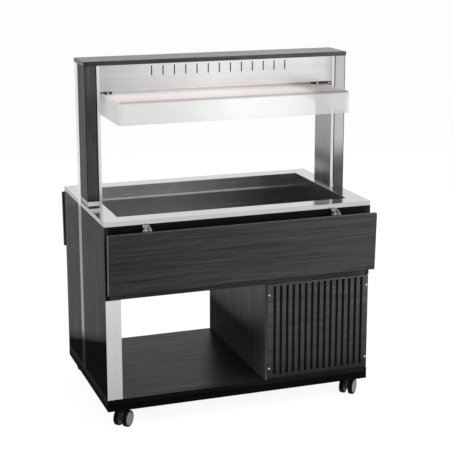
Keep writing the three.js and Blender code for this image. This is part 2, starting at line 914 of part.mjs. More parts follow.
function compressorGeometry() {
  const feet = 3;
  const r = compressorRadius;
  const h = compressorHeight;
  const pot = new THREE.LatheGeometry([
    [0, 0],
    [r * 0.7, 0],
    [r * 0.95, h * 0.12],
    [r, h * 0.3],
    [r, h * 0.7],
    [r * 0.92, h * 0.86],
    [r * 0.6, h * 0.97],
    [0, h],
  ].map(([a, b]) => new THREE.Vector2(a, b)), 24);
  pot.rotateX(Math.PI / 2).translate(compressorX, compressorY, bayFloor + feet);
  const foot = r + 12;
  return join(
    pot,
    slab(
      compressorX - foot,
      compressorX + foot,
      compressorY - foot,
      compressorY + foot,
      bayFloor,
      bayFloor + feet + 1,
    ),
    rodZ(lineRadius + 2, lineX, compressorY, bayFloor + h * 0.6, bayFloor + h + 4, 12),
  );
}

model.add(piece('compressor', compressorGeometry(), blackPaint));

const condenserFront = -halfDepth + condenserSetback;
const condenserBack = condenserFront + condenserDepth;
const condenserLeft = bayLeft + condenserStart;
const condenserRight = bayRight - condenserEnd;
const fanX = (condenserLeft + condenserRight) / 2;
const fanZ = bayFloor + condenserHeight / 2;
const fanRadius = condenserHeight / 2 - fanMargin;
const ringRadius = fanRadius + tipGap;
const condenserTop = bayFloor + condenserHeight;
const finMargin = 6; // fins inside the end plates' outline
const platesReach = 4; // end plates in front of the fins
function condenserGeometry() {
  const endPlateAt = (x0) => slab(
    x0,
    x0 + endPlate,
    condenserFront - platesReach,
    condenserBack,
    bayFloor,
    condenserTop,
  );
  const fins = slab(
    condenserLeft,
    condenserRight,
    condenserFront,
    condenserBack,
    bayFloor + finMargin,
    condenserTop - finMargin,
  );
  return join(fins, endPlateAt(condenserLeft), endPlateAt(condenserRight - endPlate));
}

model.add(piece('condenser', condenserGeometry(), aluminium));

const shroudFace = condenserBack + fit;
const motorFace = shroudFace + motorSetback;
function shroudGeometry() {
  const plate = slab(
    condenserLeft,
    condenserRight,
    shroudFace,
    shroudFace + sheet,
    bayFloor,
    bayFloor + condenserHeight,
  );
  const ring = rodY(ringRadius + sheet, fanX, fanZ, shroudFace, shroudFace + ringDepth, 32);
  const mouth = rodY(ringRadius, fanX, fanZ, shroudFace - 1, shroudFace + ringDepth + 1, 32);
  const reach = ringRadius + sheet;
  const strutBack = motorFace + strutThickness;
  const strutBottom = fanZ - strutWidth / 2;
  const strutTop = fanZ + strutWidth / 2;
  const bar = slab(fanX - reach, fanX + reach, motorFace, strutBack, strutBottom, strutTop);
  const legs = sides.map((side) => slab(
    fanX + side * ringRadius,
    fanX + side * (ringRadius + sheet),
    shroudFace + sheet,
    strutBack,
    strutBottom,
    strutTop,
  ));
  const motor = rodY(motorRadius, fanX, fanZ, motorFace + 1, motorFace + motorLength, 20);
  const shaft = rodY(shaftRadius, fanX, fanZ, motorFace - shaftLength, motorFace + 2, 16);
  return join(cut(join(plate, ring), mouth), bar, ...legs, motor, shaft);
}

model.add(piece('fan_shroud', shroudGeometry(), blackPaint));

function fanGeometry() {
  const hubFront = shroudFace + fanGap;
  const hubBack = motorFace - motorGap;
  const hub = rodY(fanHub, fanX, fanZ, hubFront, hubBack, 20);
  const blades = [];
  for (let i = 0; i < fanBlades; i += 1) {
    const blade = new THREE.BoxGeometry(fanRadius - fanHub + bladeRoot, bladeThickness, bladeChord);
    blade.rotateX(THREE.MathUtils.degToRad(fanPitch));
    blade.translate((fanRadius + fanHub - bladeRoot) / 2, 0, 0);
    blade.rotateY(i * 2 * Math.PI / fanBlades);
    blade.translate(fanX, (hubFront + hubBack) / 2, fanZ);
    blades.push(blade);
  }
  const bore = rodY(shaftRadius + runningFit, fanX, fanZ, motorFace - shaftLength - 1, hubBack + 1, 16);
  return cut(join(hub, ...blades), bore);
}

model.add(piece('condenser_fan', fanGeometry(), blackPlastic));

const evaporator = slab(
  -evaporatorWidth / 2,
  evaporatorWidth / 2,
  -evaporatorDepth / 2,
  evaporatorDepth / 2,
  evaporatorTop - evaporatorThickness,
  evaporatorTop,
);
const evaporatorPlate = cut(
  evaporator,
  rodZ(drainRadius + 8, drainX, drainY, evaporatorTop - 20, evaporatorTop + 1),
);
model.add(piece('evaporator_plate', evaporatorPlate, aluminium));

function suctionLineGeometry() {
  const low = bayFloor + compressorHeight + 4 + fit;
  const high = evaporatorTop - evaporatorThickness / 2;
  const end = evaporatorWidth / 2 + fit;
  const path = new THREE.CurvePath();
  const at = (x, z) => new THREE.Vector3(x, compressorY, z);
  path.add(new THREE.LineCurve3(at(lineX, low), at(lineX, high - lineBend)));
  path.add(new THREE.QuadraticBezierCurve3(
    at(lineX, high - lineBend),
    at(lineX, high),
    at(lineX - lineBend, high),
  ));
  path.add(new THREE.LineCurve3(at(lineX - lineBend, high), at(end, high)));
  const section = new THREE.Shape();
  section.absarc(0, 0, lineRadius, 0, 2 * Math.PI, false);
  return new THREE.ExtrudeGeometry(section, { steps: 30, curveSegments: 8, extrudePath: path });
}

model.add(piece('suction_line', suctionLineGeometry(), copper));

// strainer flange in the well, tail pipe, valve body and spout with one clear bore
function drainGeometry() {
  const top = wellFloor + 2;
  const bottom = drainEnd;
  const half = valveSize / 2;
  return cut(
    join(
      rodZ(drainFlange, drainX, drainY, wellFloor + fit, top, 24),
      rodZ(drainRadius, drainX, drainY, bottom, top - 0.5, 24),
      slab(
        drainX - half,
        drainX + half,
        drainY - half,
        drainY + half,
        valveZ - half,
        valveZ + half,
      ),
      rodY(shaftRadius, drainX, valveZ, drainY - half - 12, drainY - half + 1, 16),
    ),
    rodZ(drainBore, drainX, drainY, bottom - 1, top + 1, 20),
  );
}

model.add(piece('drain_pipe', drainGeometry(), stainless));

function leverGeometry() {
  const y1 = drainY - valveSize / 2 - 2;
  const y0 = y1 - 8;
  return cut(
    join(
      rodY(10, drainX, valveZ, y0, y1, 16),
      slab(drainX - 6, drainX + 6, y0, y0 + 4, valveZ - leverLength, valveZ),
    ),
    rodY(shaftRadius + runningFit, drainX, valveZ, y0 - 1, y1 + 1, 16),
  );
}

model.add(piece('drain_lever', leverGeometry(), brass));

// ---- rear controls -------------------------------------------------------------------

const panelFace = halfDepth + fit + panelSheet;
const rockerAxisY = panelFace - 3;
const rockerHole = {
  x: rockerWidth / 2 + rockerClearance / 2,
  z: rockerHeight / 2 + rockerClearance,
};

function panelGeometry() {
  const x = panelWidth / 2;
  const z = panelHeight / 2;
  const plate = slab(panelX - x, panelX + x, halfDepth + fit, panelFace, panelZ - z, panelZ + z);
  const box = slab(
    panelX - x + panelBoxMargin,
    panelX + x - panelBoxMargin,
    halfDepth - panelBoxDepth,
    halfDepth + 1,
    panelZ - z + panelBoxMargin,
    panelZ + z - panelBoxMargin,
  );
  const recess = (offset, halfX, halfZ, depth) => slab(
    panelX + offset - halfX,
    panelX + offset + halfX,
    panelFace - depth,
    panelFace + 1,
    panelZ - halfZ,
    panelZ + halfZ,
  );
  const spindleX = panelX + knobOffset;
  return join(
    cut(
      join(plate, box),
      recess(inletOffset, inletWidth / 2, inletHeight / 2, inletDepth),
      recess(powerOffset, rockerHole.x, rockerHole.z, rockerDepth + 6),
      recess(lampSwitchOffset, rockerHole.x, rockerHole.z, rockerDepth + 6),
    ),
    rodY(shaftRadius, spindleX, panelZ, panelFace - 1, panelFace + knobLength - 5, 16),
  );
}

model.add(piece('control_panel', panelGeometry(), blackPlastic));

// drawn around its axis, its outer face folded to a shallow valley
function rockerGeometry() {
  const half = rockerHeight / 2;
  return prismX([
    [3.5, half],
    [1.5, 0],
    [3.5, -half],
    [-2, -half],
    [-rockerDepth + 4, -half / 3],
    [-rockerDepth + 4, half / 3],
    [-2, half],
  ], -rockerWidth / 2, rockerWidth / 2);
}

for (const [name, offset] of [['power_switch', powerOffset], ['lamp_switch', lampSwitchOffset]]) {
  const rocker = piece(name, rockerGeometry(), blackPlastic);
  rocker.position.set(panelX + offset, rockerAxisY, panelZ);
  rocker.rotation.x = THREE.MathUtils.degToRad(rockerTilt);
  model.add(rocker);
}

function knobGeometry() {
  const x = panelX + knobOffset;
  const y0 = panelFace + fit;
  return cut(
    join(
      rodY(knobRadius, x, panelZ, y0, y0 + 4, 24),
      rodY(knobRadius - 4, x, panelZ, y0 + 3, y0 + knobLength, 24),
      slab(x - 2.5, x + 2.5, y0 + 3, y0 + knobLength + 2, panelZ - knobRadius + 6, panelZ + knobRadius - 1),
    ),
    rodY(shaftRadius + runningFit, x, panelZ, y0 - 1, y0 + knobLength - 4, 16),
  );
}

model.add(piece('thermostat_knob', knobGeometry(), blackPlastic));

export default model;
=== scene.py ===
import bpy
import bmesh
import json
import math
from mathutils import Euler, Matrix, Vector


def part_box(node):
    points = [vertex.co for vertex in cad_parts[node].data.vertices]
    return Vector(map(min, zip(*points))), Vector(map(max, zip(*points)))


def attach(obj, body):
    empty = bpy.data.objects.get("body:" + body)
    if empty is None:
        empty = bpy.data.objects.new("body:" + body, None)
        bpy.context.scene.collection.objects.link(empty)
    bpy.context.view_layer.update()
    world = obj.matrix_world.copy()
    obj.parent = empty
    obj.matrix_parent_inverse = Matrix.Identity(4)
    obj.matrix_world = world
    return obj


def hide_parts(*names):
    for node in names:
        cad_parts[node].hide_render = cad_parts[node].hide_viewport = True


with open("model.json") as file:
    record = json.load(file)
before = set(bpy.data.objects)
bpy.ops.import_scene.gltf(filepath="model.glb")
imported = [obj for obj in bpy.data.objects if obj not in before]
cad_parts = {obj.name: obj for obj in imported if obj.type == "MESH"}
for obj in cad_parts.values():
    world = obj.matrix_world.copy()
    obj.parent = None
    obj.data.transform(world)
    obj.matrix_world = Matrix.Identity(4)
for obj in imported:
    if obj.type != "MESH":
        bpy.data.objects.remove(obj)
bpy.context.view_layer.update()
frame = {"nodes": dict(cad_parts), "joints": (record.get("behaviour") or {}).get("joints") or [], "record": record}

nodes = frame["nodes"]
joints = {joint["name"]: joint for joint in frame["joints"]}
openings = {opening["name"]: opening["box_m"] for opening in frame["record"]["physics"]["openings"]}
bodyOf = {node: body for body, listed in frame["record"]["behaviour"]["bodies"].items() for node in listed}
mm = 0.001


def span(name):
    # lowest and highest corner of a node, in metres
    low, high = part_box(name)
    return Vector(low), Vector(high)


def middle(low, high):
    return (Vector(low) + Vector(high)) / 2


def inMetres(values):
    return [value * mm for value in values]


def jointPlace(name):
    return Vector(joints[name]["pos_m"])


# camera and studio

camera = {
    "place": (-1.7005, -4.9848, 2.0595),
    "turnRight": 19.281,  # degrees
    "tiltDown": 12.837,
    "roll": 0.113,
    "lens": 98.69,
    "sensor": 36.0,
    "shift": (0.0075, -0.0669),
    "sees": (0.1, 200.0),  # nearest and farthest, in metres
}
studio = {
    "floorSize": 90.0,
    "ambient": 0.42,
    "background": 1.0,
    "floorBounce": 0.07,
    "floorPale": 0.15,  # how far the floor answers to light and shadow
    "floorGlow": 0.92,
    "lamps": [
        # name, place, target, size, watts
        ("overheadLight", (0.3, -1.0, 4.0), (0, 0, 0.8), 3.0, 70),
        ("rightLight", (2.2, -2.2, 1.6), (0.45, 0, 0.75), 1.4, 48),
        ("leftLight", (-4.2, -0.4, 2.6), (-0.4, 0, 0.8), 2.4, 42),
        ("backLight", (0.8, 4.4, 2.6), (0, 0, 0.8), 2.6, 50),
    ],
}


def makeCamera():
    data = bpy.data.cameras.new("photoCamera")
    data.lens = camera["lens"]
    data.sensor_width = camera["sensor"]
    data.shift_x, data.shift_y = camera["shift"]
    data.clip_start, data.clip_end = camera["sees"]
    obj = bpy.data.objects.new("photoCamera", data)
    obj.location = camera["place"]
    aim = Euler((math.radians(90 - camera["tiltDown"]), 0, -math.radians(camera["turnRight"])))
    turned = aim.to_matrix() @ Matrix.Rotation(math.radians(-camera["roll"]), 3, "Z")
    obj.rotation_euler = turned.to_euler()
    bpy.context.collection.objects.link(obj)
    bpy.context.scene.camera = obj


def makeLamp(name, place, target, size, watts):
    data = bpy.data.lights.new(name, "AREA")
    data.shape = "SQUARE"
    data.size = size
    data.energy = watts
    obj = bpy.data.objects.new(name, data)
    obj.location = place
    way = Vector(target) - Vector(place)
    obj.rotation_euler = way.to_track_quat("-Z", "Y").to_euler()
    obj.visible_glossy = False
    bpy.context.collection.objects.link(obj)


# node helpers

def addNode(tree, kind, sockets=None, **settings):
    made = tree.nodes.new(kind)
    for key, value in settings.items():
        setattr(made, key, value)
    for key, value in (sockets or {}).items():
        if isinstance(value, bpy.types.NodeSocket):
            tree.links.new(value, made.inputs[key])
        else:
            made.inputs[key].default_value = value
    return made


def startNodes(owner, outputKind):
    owner.use_nodes = True
    owner.node_tree.nodes.clear()
    return owner.node_tree, owner.node_tree.nodes.new(outputKind)


def startMaterial(name):
    made = bpy.data.materials.new(name)
    tree, out = startNodes(made, "ShaderNodeOutputMaterial")
    return made, tree, out


def objectPlace(tree, scale=(1, 1, 1), offset=(0, 0, 0)):
    place = addNode(tree, "ShaderNodeTexCoord").outputs["Object"]
    return addNode(tree, "ShaderNodeMapping", {
        "Vector": place, "Scale": scale, "Location": offset,
    }).outputs["Vector"]


def placeParts(tree):
    # X, Y and Z of a point of the surface
    return addNode(tree, "ShaderNodeSeparateXYZ", {0: objectPlace(tree)}).outputs


def facing(tree, axis):
    # how far the surface looks along an axis, either way
    normal = addNode(tree, "ShaderNodeNewGeometry").outputs["Normal"]
    return maths(tree, "ABSOLUTE", addNode(tree, "ShaderNodeSeparateXYZ", {0: normal}).outputs[axis])


def noise(tree, vector, scale, detail=4, roughness=0.55, distortion=0.0):
    return addNode(tree, "ShaderNodeTexNoise", {
        "Vector": vector, "Scale": scale, "Detail": detail,
        "Roughness": roughness, "Distortion": distortion,
    }).outputs["Fac"]


def ramp(tree, factor, stops):
    made = addNode(tree, "ShaderNodeValToRGB", {"Fac": factor})
    band = made.color_ramp
    while len(band.elements) < len(stops):
        band.elements.new(0.5)
    for element, (place, colour) in zip(band.elements, stops):
        element.position = place
        grey = (colour, colour, colour) if isinstance(colour, (int, float)) else colour
        element.color = (*grey, 1)
    return made.outputs["Color"]


def mixColour(tree, factor, a, b, blend="MIX"):
    made = addNode(tree, "ShaderNodeMix", data_type="RGBA", blend_type=blend)
    for key, value in ((0, factor), (6, a), (7, b)):
        if isinstance(value, bpy.types.NodeSocket):
            tree.links.new(value, made.inputs[key])
        elif key == 0:
            made.inputs[0].default_value = value
        else:
            made.inputs[key].default_value = (*value[:3], 1)
    return made.outputs[2]


def shaded(tree, colour, tone, share=1.0):
    return mixColour(tree, share, colour, tone, "MULTIPLY")


def toneRamp(tree, factor, tones):
    # a grey that follows (factor, tone) pairs; tones may pass 1
    most = max(tone for _, tone in tones)
    shade = ramp(tree, factor, [(place, tone / most) for place, tone in tones])
    return shaded(tree, shade, (most, most, most))


def maths(tree, operation, a, b=0.5, clamp=False):
    return addNode(tree, "ShaderNodeMath", {0: a, 1: b}, operation=operation, use_clamp=clamp).outputs[0]


def times(tree, a, b):
    return maths(tree, "MULTIPLY", a, b)


def plus(tree, a, b):
    return maths(tree, "ADD", a, b)


def remap(tree, value, low, high, fromLow=0.0, fromHigh=1.0):
    return addNode(tree, "ShaderNodeMapRange", {
        "Value": value, "From Min": fromLow, "From Max": fromHigh, "To Min": low, "To Max": high,
    }).outputs[0]


def bump(tree, height, strength, distance):
    return addNode(tree, "ShaderNodeBump", {
        "Height": height, "Strength": strength, "Distance": distance,
    }).outputs["Normal"]


def surfacePart(tree, kind, **sockets):
    return addNode(tree, f"ShaderNode{kind}", sockets).outputs[0]


def mixParts(tree, factor, first, second):
    return addNode(tree, "ShaderNodeMixShader", {0: factor, 1: first, 2: second}).outputs[0]


def finishSurface(tree, out, **sockets):
    shader = addNode(tree, "ShaderNodeBsdfPrincipled", {
        key.replace("_", " "): value for key, value in sockets.items()
    })
    tree.links.new(shader.outputs[0], out.inputs[0])


# finishes

alongX, alongZ = 0, 2  # the way that a grain or a scratch runs

laminateLook = {
    "top": 1.476,  # height of the part, for the painted shade that changes with height
    # scales of the grain, along it and across
    "streaks": (3.6, 330),
    "figure": (1.3, 70),
    "pores": (16, 620),
    "figureShare": 0.2,
    "poreShade": 0.85,
    "flatSheen": 0.09,  # painted sheen of boards that lie flat
    "lowSheen": 0.006,  # painted shade in the reflection: share of sheen that the upright panels keep near the floor
    "sheenHeights": (0.28, 0.52),  # between these heights they take up the rest
    "sideSheenHeights": (0.262, 0.318),
    "slant": 0.3,  # painted shade: on the sides, heights count from a line that falls towards the rear
    "relief": (0.14, 0.0006),
}
# painted light and shade by height: pairs of height in metres and tone
paintedFrontShade = [(0.12, 0.24), (0.2, 0.7), (0.55, 0.93)]
paintedSideShade = [(0.12, 0.3), (0.262, 0.34), (0.318, 0.75), (0.5, 0.95), (0.87, 1.1), (0.9, 2.6), (1.4, 2.9)]
paintedBayLight = [(0.12, 3.0), (0.35, 2.3), (0.45, 1.8), (0.55, 1.6)]
paintedApronShade = [(0.55, 1.7), (0.6, 1.4), (0.66, 0.12), (0.85, 0.12)]
paintedColumnShade = [(0.262, 0.32), (0.318, 0.6), (0.86, 0.62), (0.88, 1.1), (1.0, 1.4)]
paintedColumnEdgeShade = [(0.262, 0.1), (0.318, 0.64), (0.86, 0.64), (0.88, 1.0)]  # the same, as painted shade in the reflection at a glancing view
paintedUprightShade = [
    (0.9, 0.75), (0.95, 0.75), (0.99, 0.26), (1.015, 0.34), (1.045, 0.68), (1.13, 0.9), (1.3, 1.1),
]
paintedCoverShade = [(0.965, 0.18), (1.015, 0.34), (1.06, 0.78), (1.1, 0.95), (1.3, 1.0)]
# even: no painted shade
evenTones = [(0.0, 1.0), (1.4, 1.0)]


def grainScale(axis, along, across):
    return tuple(along if i == axis else across for i in range(3))


def paintedShadeByHeight(tree, tones, slant=0.0):
    # painted shade and light that follow the height; heights may count from a line that falls towards the rear
    top = laminateLook["top"]
    place = placeParts(tree)
    height = place["Z"]
    if slant:
        height = plus(tree, height, times(tree, place["Y"], slant))
    share = maths(tree, "DIVIDE", height, top)
    return toneRamp(tree, share, [(z / top, tone) for z, tone in tones]), height


def paintedSweep(tree, tones):
    # painted light and shade from the hood's left end to its right
    half = span("front_fascia")[1].x
    return toneRamp(tree, remap(tree, placeParts(tree)["X"], 0, 1, -half, half), tones)


def laminate(
    name, axis, dark, light, tones, gloss=0.3, sheen=0.1, offset=(0, 0, 0), sweep=None, slant=0.0,
    sheenHeights=laminateLook["sheenHeights"],
):
    # printed wood grain: long streaks, fine pores and a slow change of tone, under painted shade and light by
    # height and from left to right, and a painted sheen
    made, tree, out = startMaterial(name)
    scales = {key: grainScale(axis, *laminateLook[key]) for key in ("streaks", "figure", "pores")}
    streaks = noise(tree, objectPlace(tree, scales["streaks"], offset), 1.0, 6, 0.68, 0.25)
    figure = noise(tree, objectPlace(tree, scales["figure"], offset), 1.0, 3, 0.5, 0.5)
    pores = noise(tree, objectPlace(tree, scales["pores"], offset), 1.0, 3, 0.62)
    tone = noise(tree, objectPlace(tree), 1.4, 2)
    share = laminateLook["figureShare"]
    grain = plus(tree, times(tree, streaks, 1 - share), times(tree, figure, share))
    between = tuple((a + b) / 2 for a, b in zip(dark, light))
    colour = ramp(tree, grain, [(0.35, dark), (0.5, between), (0.65, light)])
    colour = shaded(tree, colour, ramp(tree, pores, [(0.34, 0.5), (0.5, 1.0)]), laminateLook["poreShade"])
    colour = shaded(tree, colour, ramp(tree, tone, [(0.3, 0.85), (0.7, 1.0)]))
    # painted shade and light: the colour follows the height tones, and the sweep from left to right
    shade, height = paintedShadeByHeight(tree, tones, slant)
    colour = shaded(tree, colour, shade)
    if sweep:
        colour = shaded(tree, colour, paintedSweep(tree, sweep))
    # painted shade in the reflection: the sheen fades towards the floor, and boards that lie flat keep a painted
    # sheen
    fade = times(tree, remap(tree, height, laminateLook["lowSheen"], 1.0, *sheenHeights), sheen)
    level = maths(tree, "MAXIMUM", fade, times(tree, facing(tree, "Z"), laminateLook["flatSheen"]))
    level = times(tree, level, remap(tree, grain, 0.45, 1.55, 0.38, 0.62))
    rough = remap(tree, grain, gloss + 0.09, gloss - 0.05, 0.35, 0.65)
    relief = plus(tree, times(tree, pores, 0.6), times(tree, streaks, 0.4))
    finishSurface(
        tree, out, Base_Color=colour, Roughness=rough, Specular_IOR_Level=level,
        Normal=bump(tree, relief, *laminateLook["relief"]),
    )
    return made


# painted light on the well's walls above the ledge
paintedWellRim = {
    "height": 0.812,  # the painted bright rim starts here, in metres
    "soft": 0.003,
    "rise": 0.055,
    "tones": (1.08, 1.62, 1.9),  # below it, at its top and at its foot
}


def paintedRimLight(tree):
    # painted light: lightens the faces that look along Y, above a height
    height, start, soft = placeParts(tree)["Z"], paintedWellRim["height"], paintedWellRim["soft"]
    below, top, foot = paintedWellRim["tones"]
    above = remap(tree, height, 0, 1, start - soft, start + soft)
    falling = remap(tree, height, foot, top, start, start + paintedWellRim["rise"])
    tone = addNode(tree, "ShaderNodeMix", {0: above, 2: below, 3: falling}).outputs[0]
    return addNode(tree, "ShaderNodeMix", {0: facing(tree, "Y"), 2: 1.0, 3: tone}).outputs[0]


steelLook = {
    # scales along the scratches and across
    "scratches": (3, 900),
    "bands": (0.7, 60),
    "bandShare": 0.45,
    "handled": 0.05,  # how much duller the handling marks are
    "reliefDepth": 0.0004,
}


def brushedSteel(
    name, axis, colour, rough=0.22, spread=0.12, relief=0.03, inward=1.0, sweep=None, tones=None, rim=False,
    streak=0.86, edge=None, slant=0.0,
):
    # long fine scratches along one axis, with faint handling marks
    # inward is painted shade that darkens the faces that look along X; sweep is painted light and shade from the
    # left end to the right;
    # tones are painted shade that follows the height, on those faces alone where inward is given; edge is painted
    # shade in the reflection, for glancing views; rim is painted light on the well's upper walls
    made, tree, out = startMaterial(name)
    scratches = noise(tree, objectPlace(tree, grainScale(axis, *steelLook["scratches"])), 1.0, 4, 0.7)
    bands = noise(tree, objectPlace(tree, grainScale(axis, *steelLook["bands"])), 1.0, 3, 0.6)
    marks = noise(tree, objectPlace(tree), 5.0, 5, 0.6)
    share = steelLook["bandShare"]
    shade = plus(tree, times(tree, scratches, 1 - share), times(tree, bands, share))
    tint = ramp(tree, shade, [(0.35, tuple(c * streak for c in colour)), (0.65, colour)])
    tint = shaded(tree, tint, ramp(tree, marks, [(0.3, 0.93), (0.65, 1.0)]))
    # painted shade: the faces that look along X are darkened, by the height tones
    if inward < 1:
        darker = shaded(tree, (inward,) * 3, paintedShadeByHeight(tree, tones or evenTones)[0])
        tint = mixColour(tree, facing(tree, "X"), tint, shaded(tree, tint, darker))
    # painted shade and light by height
    elif tones:
        tint = shaded(tree, tint, paintedShadeByHeight(tree, tones, slant)[0])
    # painted light on the well's walls above the ledge
    if rim:
        tint = shaded(tree, tint, paintedRimLight(tree))
    # painted light and shade from left to right
    if sweep:
        tint = shaded(tree, tint, paintedSweep(tree, sweep))
    dull = remap(tree, scratches, rough, rough + spread, 0.3, 0.7)
    dull = plus(tree, dull, times(tree, marks, steelLook["handled"]))
    # painted shade in the reflection: the edge tones dim the metal's glancing tint by height
    glancing = paintedShadeByHeight(tree, edge, slant)[0] if edge else (1, 1, 1, 1)
    finishSurface(
        tree, out, Base_Color=tint, Metallic=1.0, Roughness=dull, Specular_Tint=glancing,
        Normal=bump(tree, shade, relief, steelLook["reliefDepth"]),
    )
    return made


def plainFinish(name, colour, rough=0.45, grain=300, relief=0.06, spread=0.1):
    # moulded or painted: a fine even texture with a little uneven sheen
    made, tree, out = startMaterial(name)
    fine = noise(tree, objectPlace(tree), grain, 4, 0.6)
    broad = noise(tree, objectPlace(tree), 9, 4, 0.55)
    tint = ramp(tree, broad, [(0.3, tuple(c * 0.82 for c in colour)), (0.7, colour)])
    dull = remap(tree, fine, rough - spread / 2, rough + spread / 2, 0.3, 0.7)
    finishSurface(
        tree, out, Base_Color=tint, Roughness=plus(tree, dull, times(tree, broad, 0.06)),
        Normal=bump(tree, fine, relief, 0.0004),
    )
    return made


guardLook = {
    "wallCast": 0.36,  # milky cast of the upright walls
    "topCast": 0.3,
    "castSpread": (-0.03, 0.04),
    "wallShine": 1.0,  # how much of the mirror shine the walls, the top and the end walls keep
    "topShine": 0.4,
    "endShine": 0.3,
    "edgeShine": 0.3,
    "refraction": 1.49,
    "glow": 0.24,  # painted glow: the lamp's light, given to the milky sheet as emission
    "edge": (0.306, 0.3215),  # painted shade: the bends along the front and rear top edges are greyer
    "edgeSoft": 0.004,
    "edgeBelow": (0.012, 0.006),  # they fade in over this height under the top
    "edgeTone": 0.72,
    # painted light: colour of the top from under the hood to the front edge, with a warm painted reflection of the
    # lamp
    "top": [
        (0.0, (0.97, 0.97, 0.97)), (0.13, (0.97, 0.965, 0.965)), (0.16, (0.985, 0.955, 0.945)),
        (0.195, (1.0, 0.965, 0.94)), (0.225, (0.98, 0.92, 0.89)), (0.25, (0.95, 0.89, 0.86)),
        (0.3, (0.9, 0.88, 0.87)), (0.32, (0.86, 0.86, 0.86)),
    ],
    # painted light and shade on the top and the upright walls, from the left end to the right
    "topSweep": [(0.0, 0.97), (0.2, 0.98), (0.5, 1.0), (0.82, 0.96), (0.88, 0.72), (1.0, 0.76)],
    "wallSweep": [(0.0, 0.86), (0.25, 0.9), (0.5, 1.0), (0.7, 0.97), (0.85, 0.9), (1.0, 0.86)],
}


def softBand(tree, value, low, high, soft):
    rise = remap(tree, value, 0, 1, low - soft, low + soft)
    fall = remap(tree, value, 1, 0, high - soft, high + soft)
    return times(tree, rise, fall)


def clearGuard(name):
    # clear sheet with a milky cast, stronger in the upright walls; the lamp's light is painted in, as a warm
    # painted reflection across its top and a painted glow in the milk, with painted shade along its bends
    made, tree, out = startMaterial(name)
    haze = noise(tree, objectPlace(tree), 3.0, 3)
    wipe = noise(tree, objectPlace(tree, (4, 60, 4)), 1.0, 4, 0.6)
    low, high = span("breath_guard")
    flat, place = facing(tree, "Z"), placeParts(tree)
    away = maths(tree, "ABSOLUTE", place["Y"])
    along = remap(tree, place["X"], 0, 1, low.x, high.x)
    cast = remap(tree, flat, guardLook["wallCast"], guardLook["topCast"])
    uneven = remap(tree, haze, *guardLook["castSpread"], 0.3, 0.7)
    cast = maths(tree, "ADD", cast, uneven, clamp=True)
    # painted light and shade on the top, the walls and the bends between them
    stops = [(y / high.y, colour) for y, colour in guardLook["top"]]
    topTint = ramp(tree, maths(tree, "DIVIDE", away, high.y), stops)
    topTint = shaded(tree, topTint, ramp(tree, along, guardLook["topSweep"]))
    tint = mixColour(tree, flat, ramp(tree, along, guardLook["wallSweep"]), topTint)
    deep, shallow = guardLook["edgeBelow"]
    upper = remap(tree, place["Z"], 0, 1, high.z - deep, high.z - shallow)
    edge = times(tree, softBand(tree, away, *guardLook["edge"], guardLook["edgeSoft"]), upper)
    tint = shaded(tree, tint, remap(tree, edge, 1.0, guardLook["edgeTone"]))
    # clear sheet
    clear = surfacePart(tree, "BsdfTransparent", Color=tint)
    gloss = surfacePart(tree, "BsdfGlossy", Color=tint, Roughness=remap(tree, wipe, 0.02, 0.07, 0.3, 0.7))
    shine = addNode(tree, "ShaderNodeFresnel", {"IOR": guardLook["refraction"]}).outputs[0]
    for share, key in ((flat, "topShine"), (facing(tree, "X"), "endShine"), (edge, "edgeShine")):
        shine = times(tree, shine, remap(tree, share, guardLook["wallShine"], guardLook[key]))
    sheet = mixParts(tree, shine, clear, gloss)
    # milky cast
    near = surfacePart(tree, "BsdfDiffuse", Color=tint)
    through = surfacePart(tree, "BsdfTranslucent", Color=tint)
    # painted glow: emission that stands in for the lamp's light in the sheet
    glow = surfacePart(tree, "Emission", Color=tint, Strength=guardLook["glow"])
    milk = addNode(tree, "ShaderNodeAddShader", {0: mixParts(tree, 0.5, near, through), 1: glow}).outputs[0]
    tree.links.new(mixParts(tree, cast, sheet, milk), out.inputs[0])
    return made


tubeLook = {
    "glass": (0.9, 0.82, 0.76, 1),
    "glow": 0.3,
    # from the left end to the right
    "tones": [
        (0.0, (0.8, 0.6, 0.54)), (0.04, (1.0, 0.88, 0.82)), (0.5, (1.0, 0.92, 0.87)),
        (0.96, (1.0, 0.86, 0.8)), (1.0, (0.78, 0.58, 0.53)),
    ],
}


def glowingTube(name):
    # frosted tube, lit, darker at its ends
    made, tree, out = startMaterial(name)
    low, high = span("lamp_tube")
    along = remap(tree, placeParts(tree)["X"], 0.0, 1.0, low.x, high.x)
    frost = noise(tree, objectPlace(tree), 400, 3)
    finishSurface(
        tree, out, Base_Color=tubeLook["glass"], Roughness=0.35,
        Emission_Color=ramp(tree, along, tubeLook["tones"]), Emission_Strength=tubeLook["glow"],
        Normal=bump(tree, frost, 0.05, 0.0003),
    )
    return made


def rubber(name, colour, rough=0.62):
    made, tree, out = startMaterial(name)
    fine = noise(tree, objectPlace(tree), 700, 4, 0.65)
    scuff = noise(tree, objectPlace(tree), 45, 5, 0.6)
    tint = ramp(tree, scuff, [(0.35, colour), (0.75, tuple(c * 1.7 for c in colour))])
    finishSurface(
        tree, out, Base_Color=tint, Roughness=remap(tree, scuff, rough - 0.1, rough + 0.12, 0.3, 0.7),
        Specular_IOR_Level=0.05, Normal=bump(tree, fine, 0.12, 0.0004),
    )
    return made


def foamFinish(name, colour):
    made, tree, out = startMaterial(name)
    bubbles = addNode(tree, "ShaderNodeTexVoronoi", {"Vector": objectPlace(tree), "Scale": 260})
    cells = bubbles.outputs["Distance"]
    tint = shaded(tree, colour, ramp(tree, cells, [(0.0, 0.75), (0.6, 1.0)]))
    finishSurface(tree, out, Base_Color=tint, Roughness=0.9, Normal=bump(tree, cells, 0.4, 0.001))
    return made


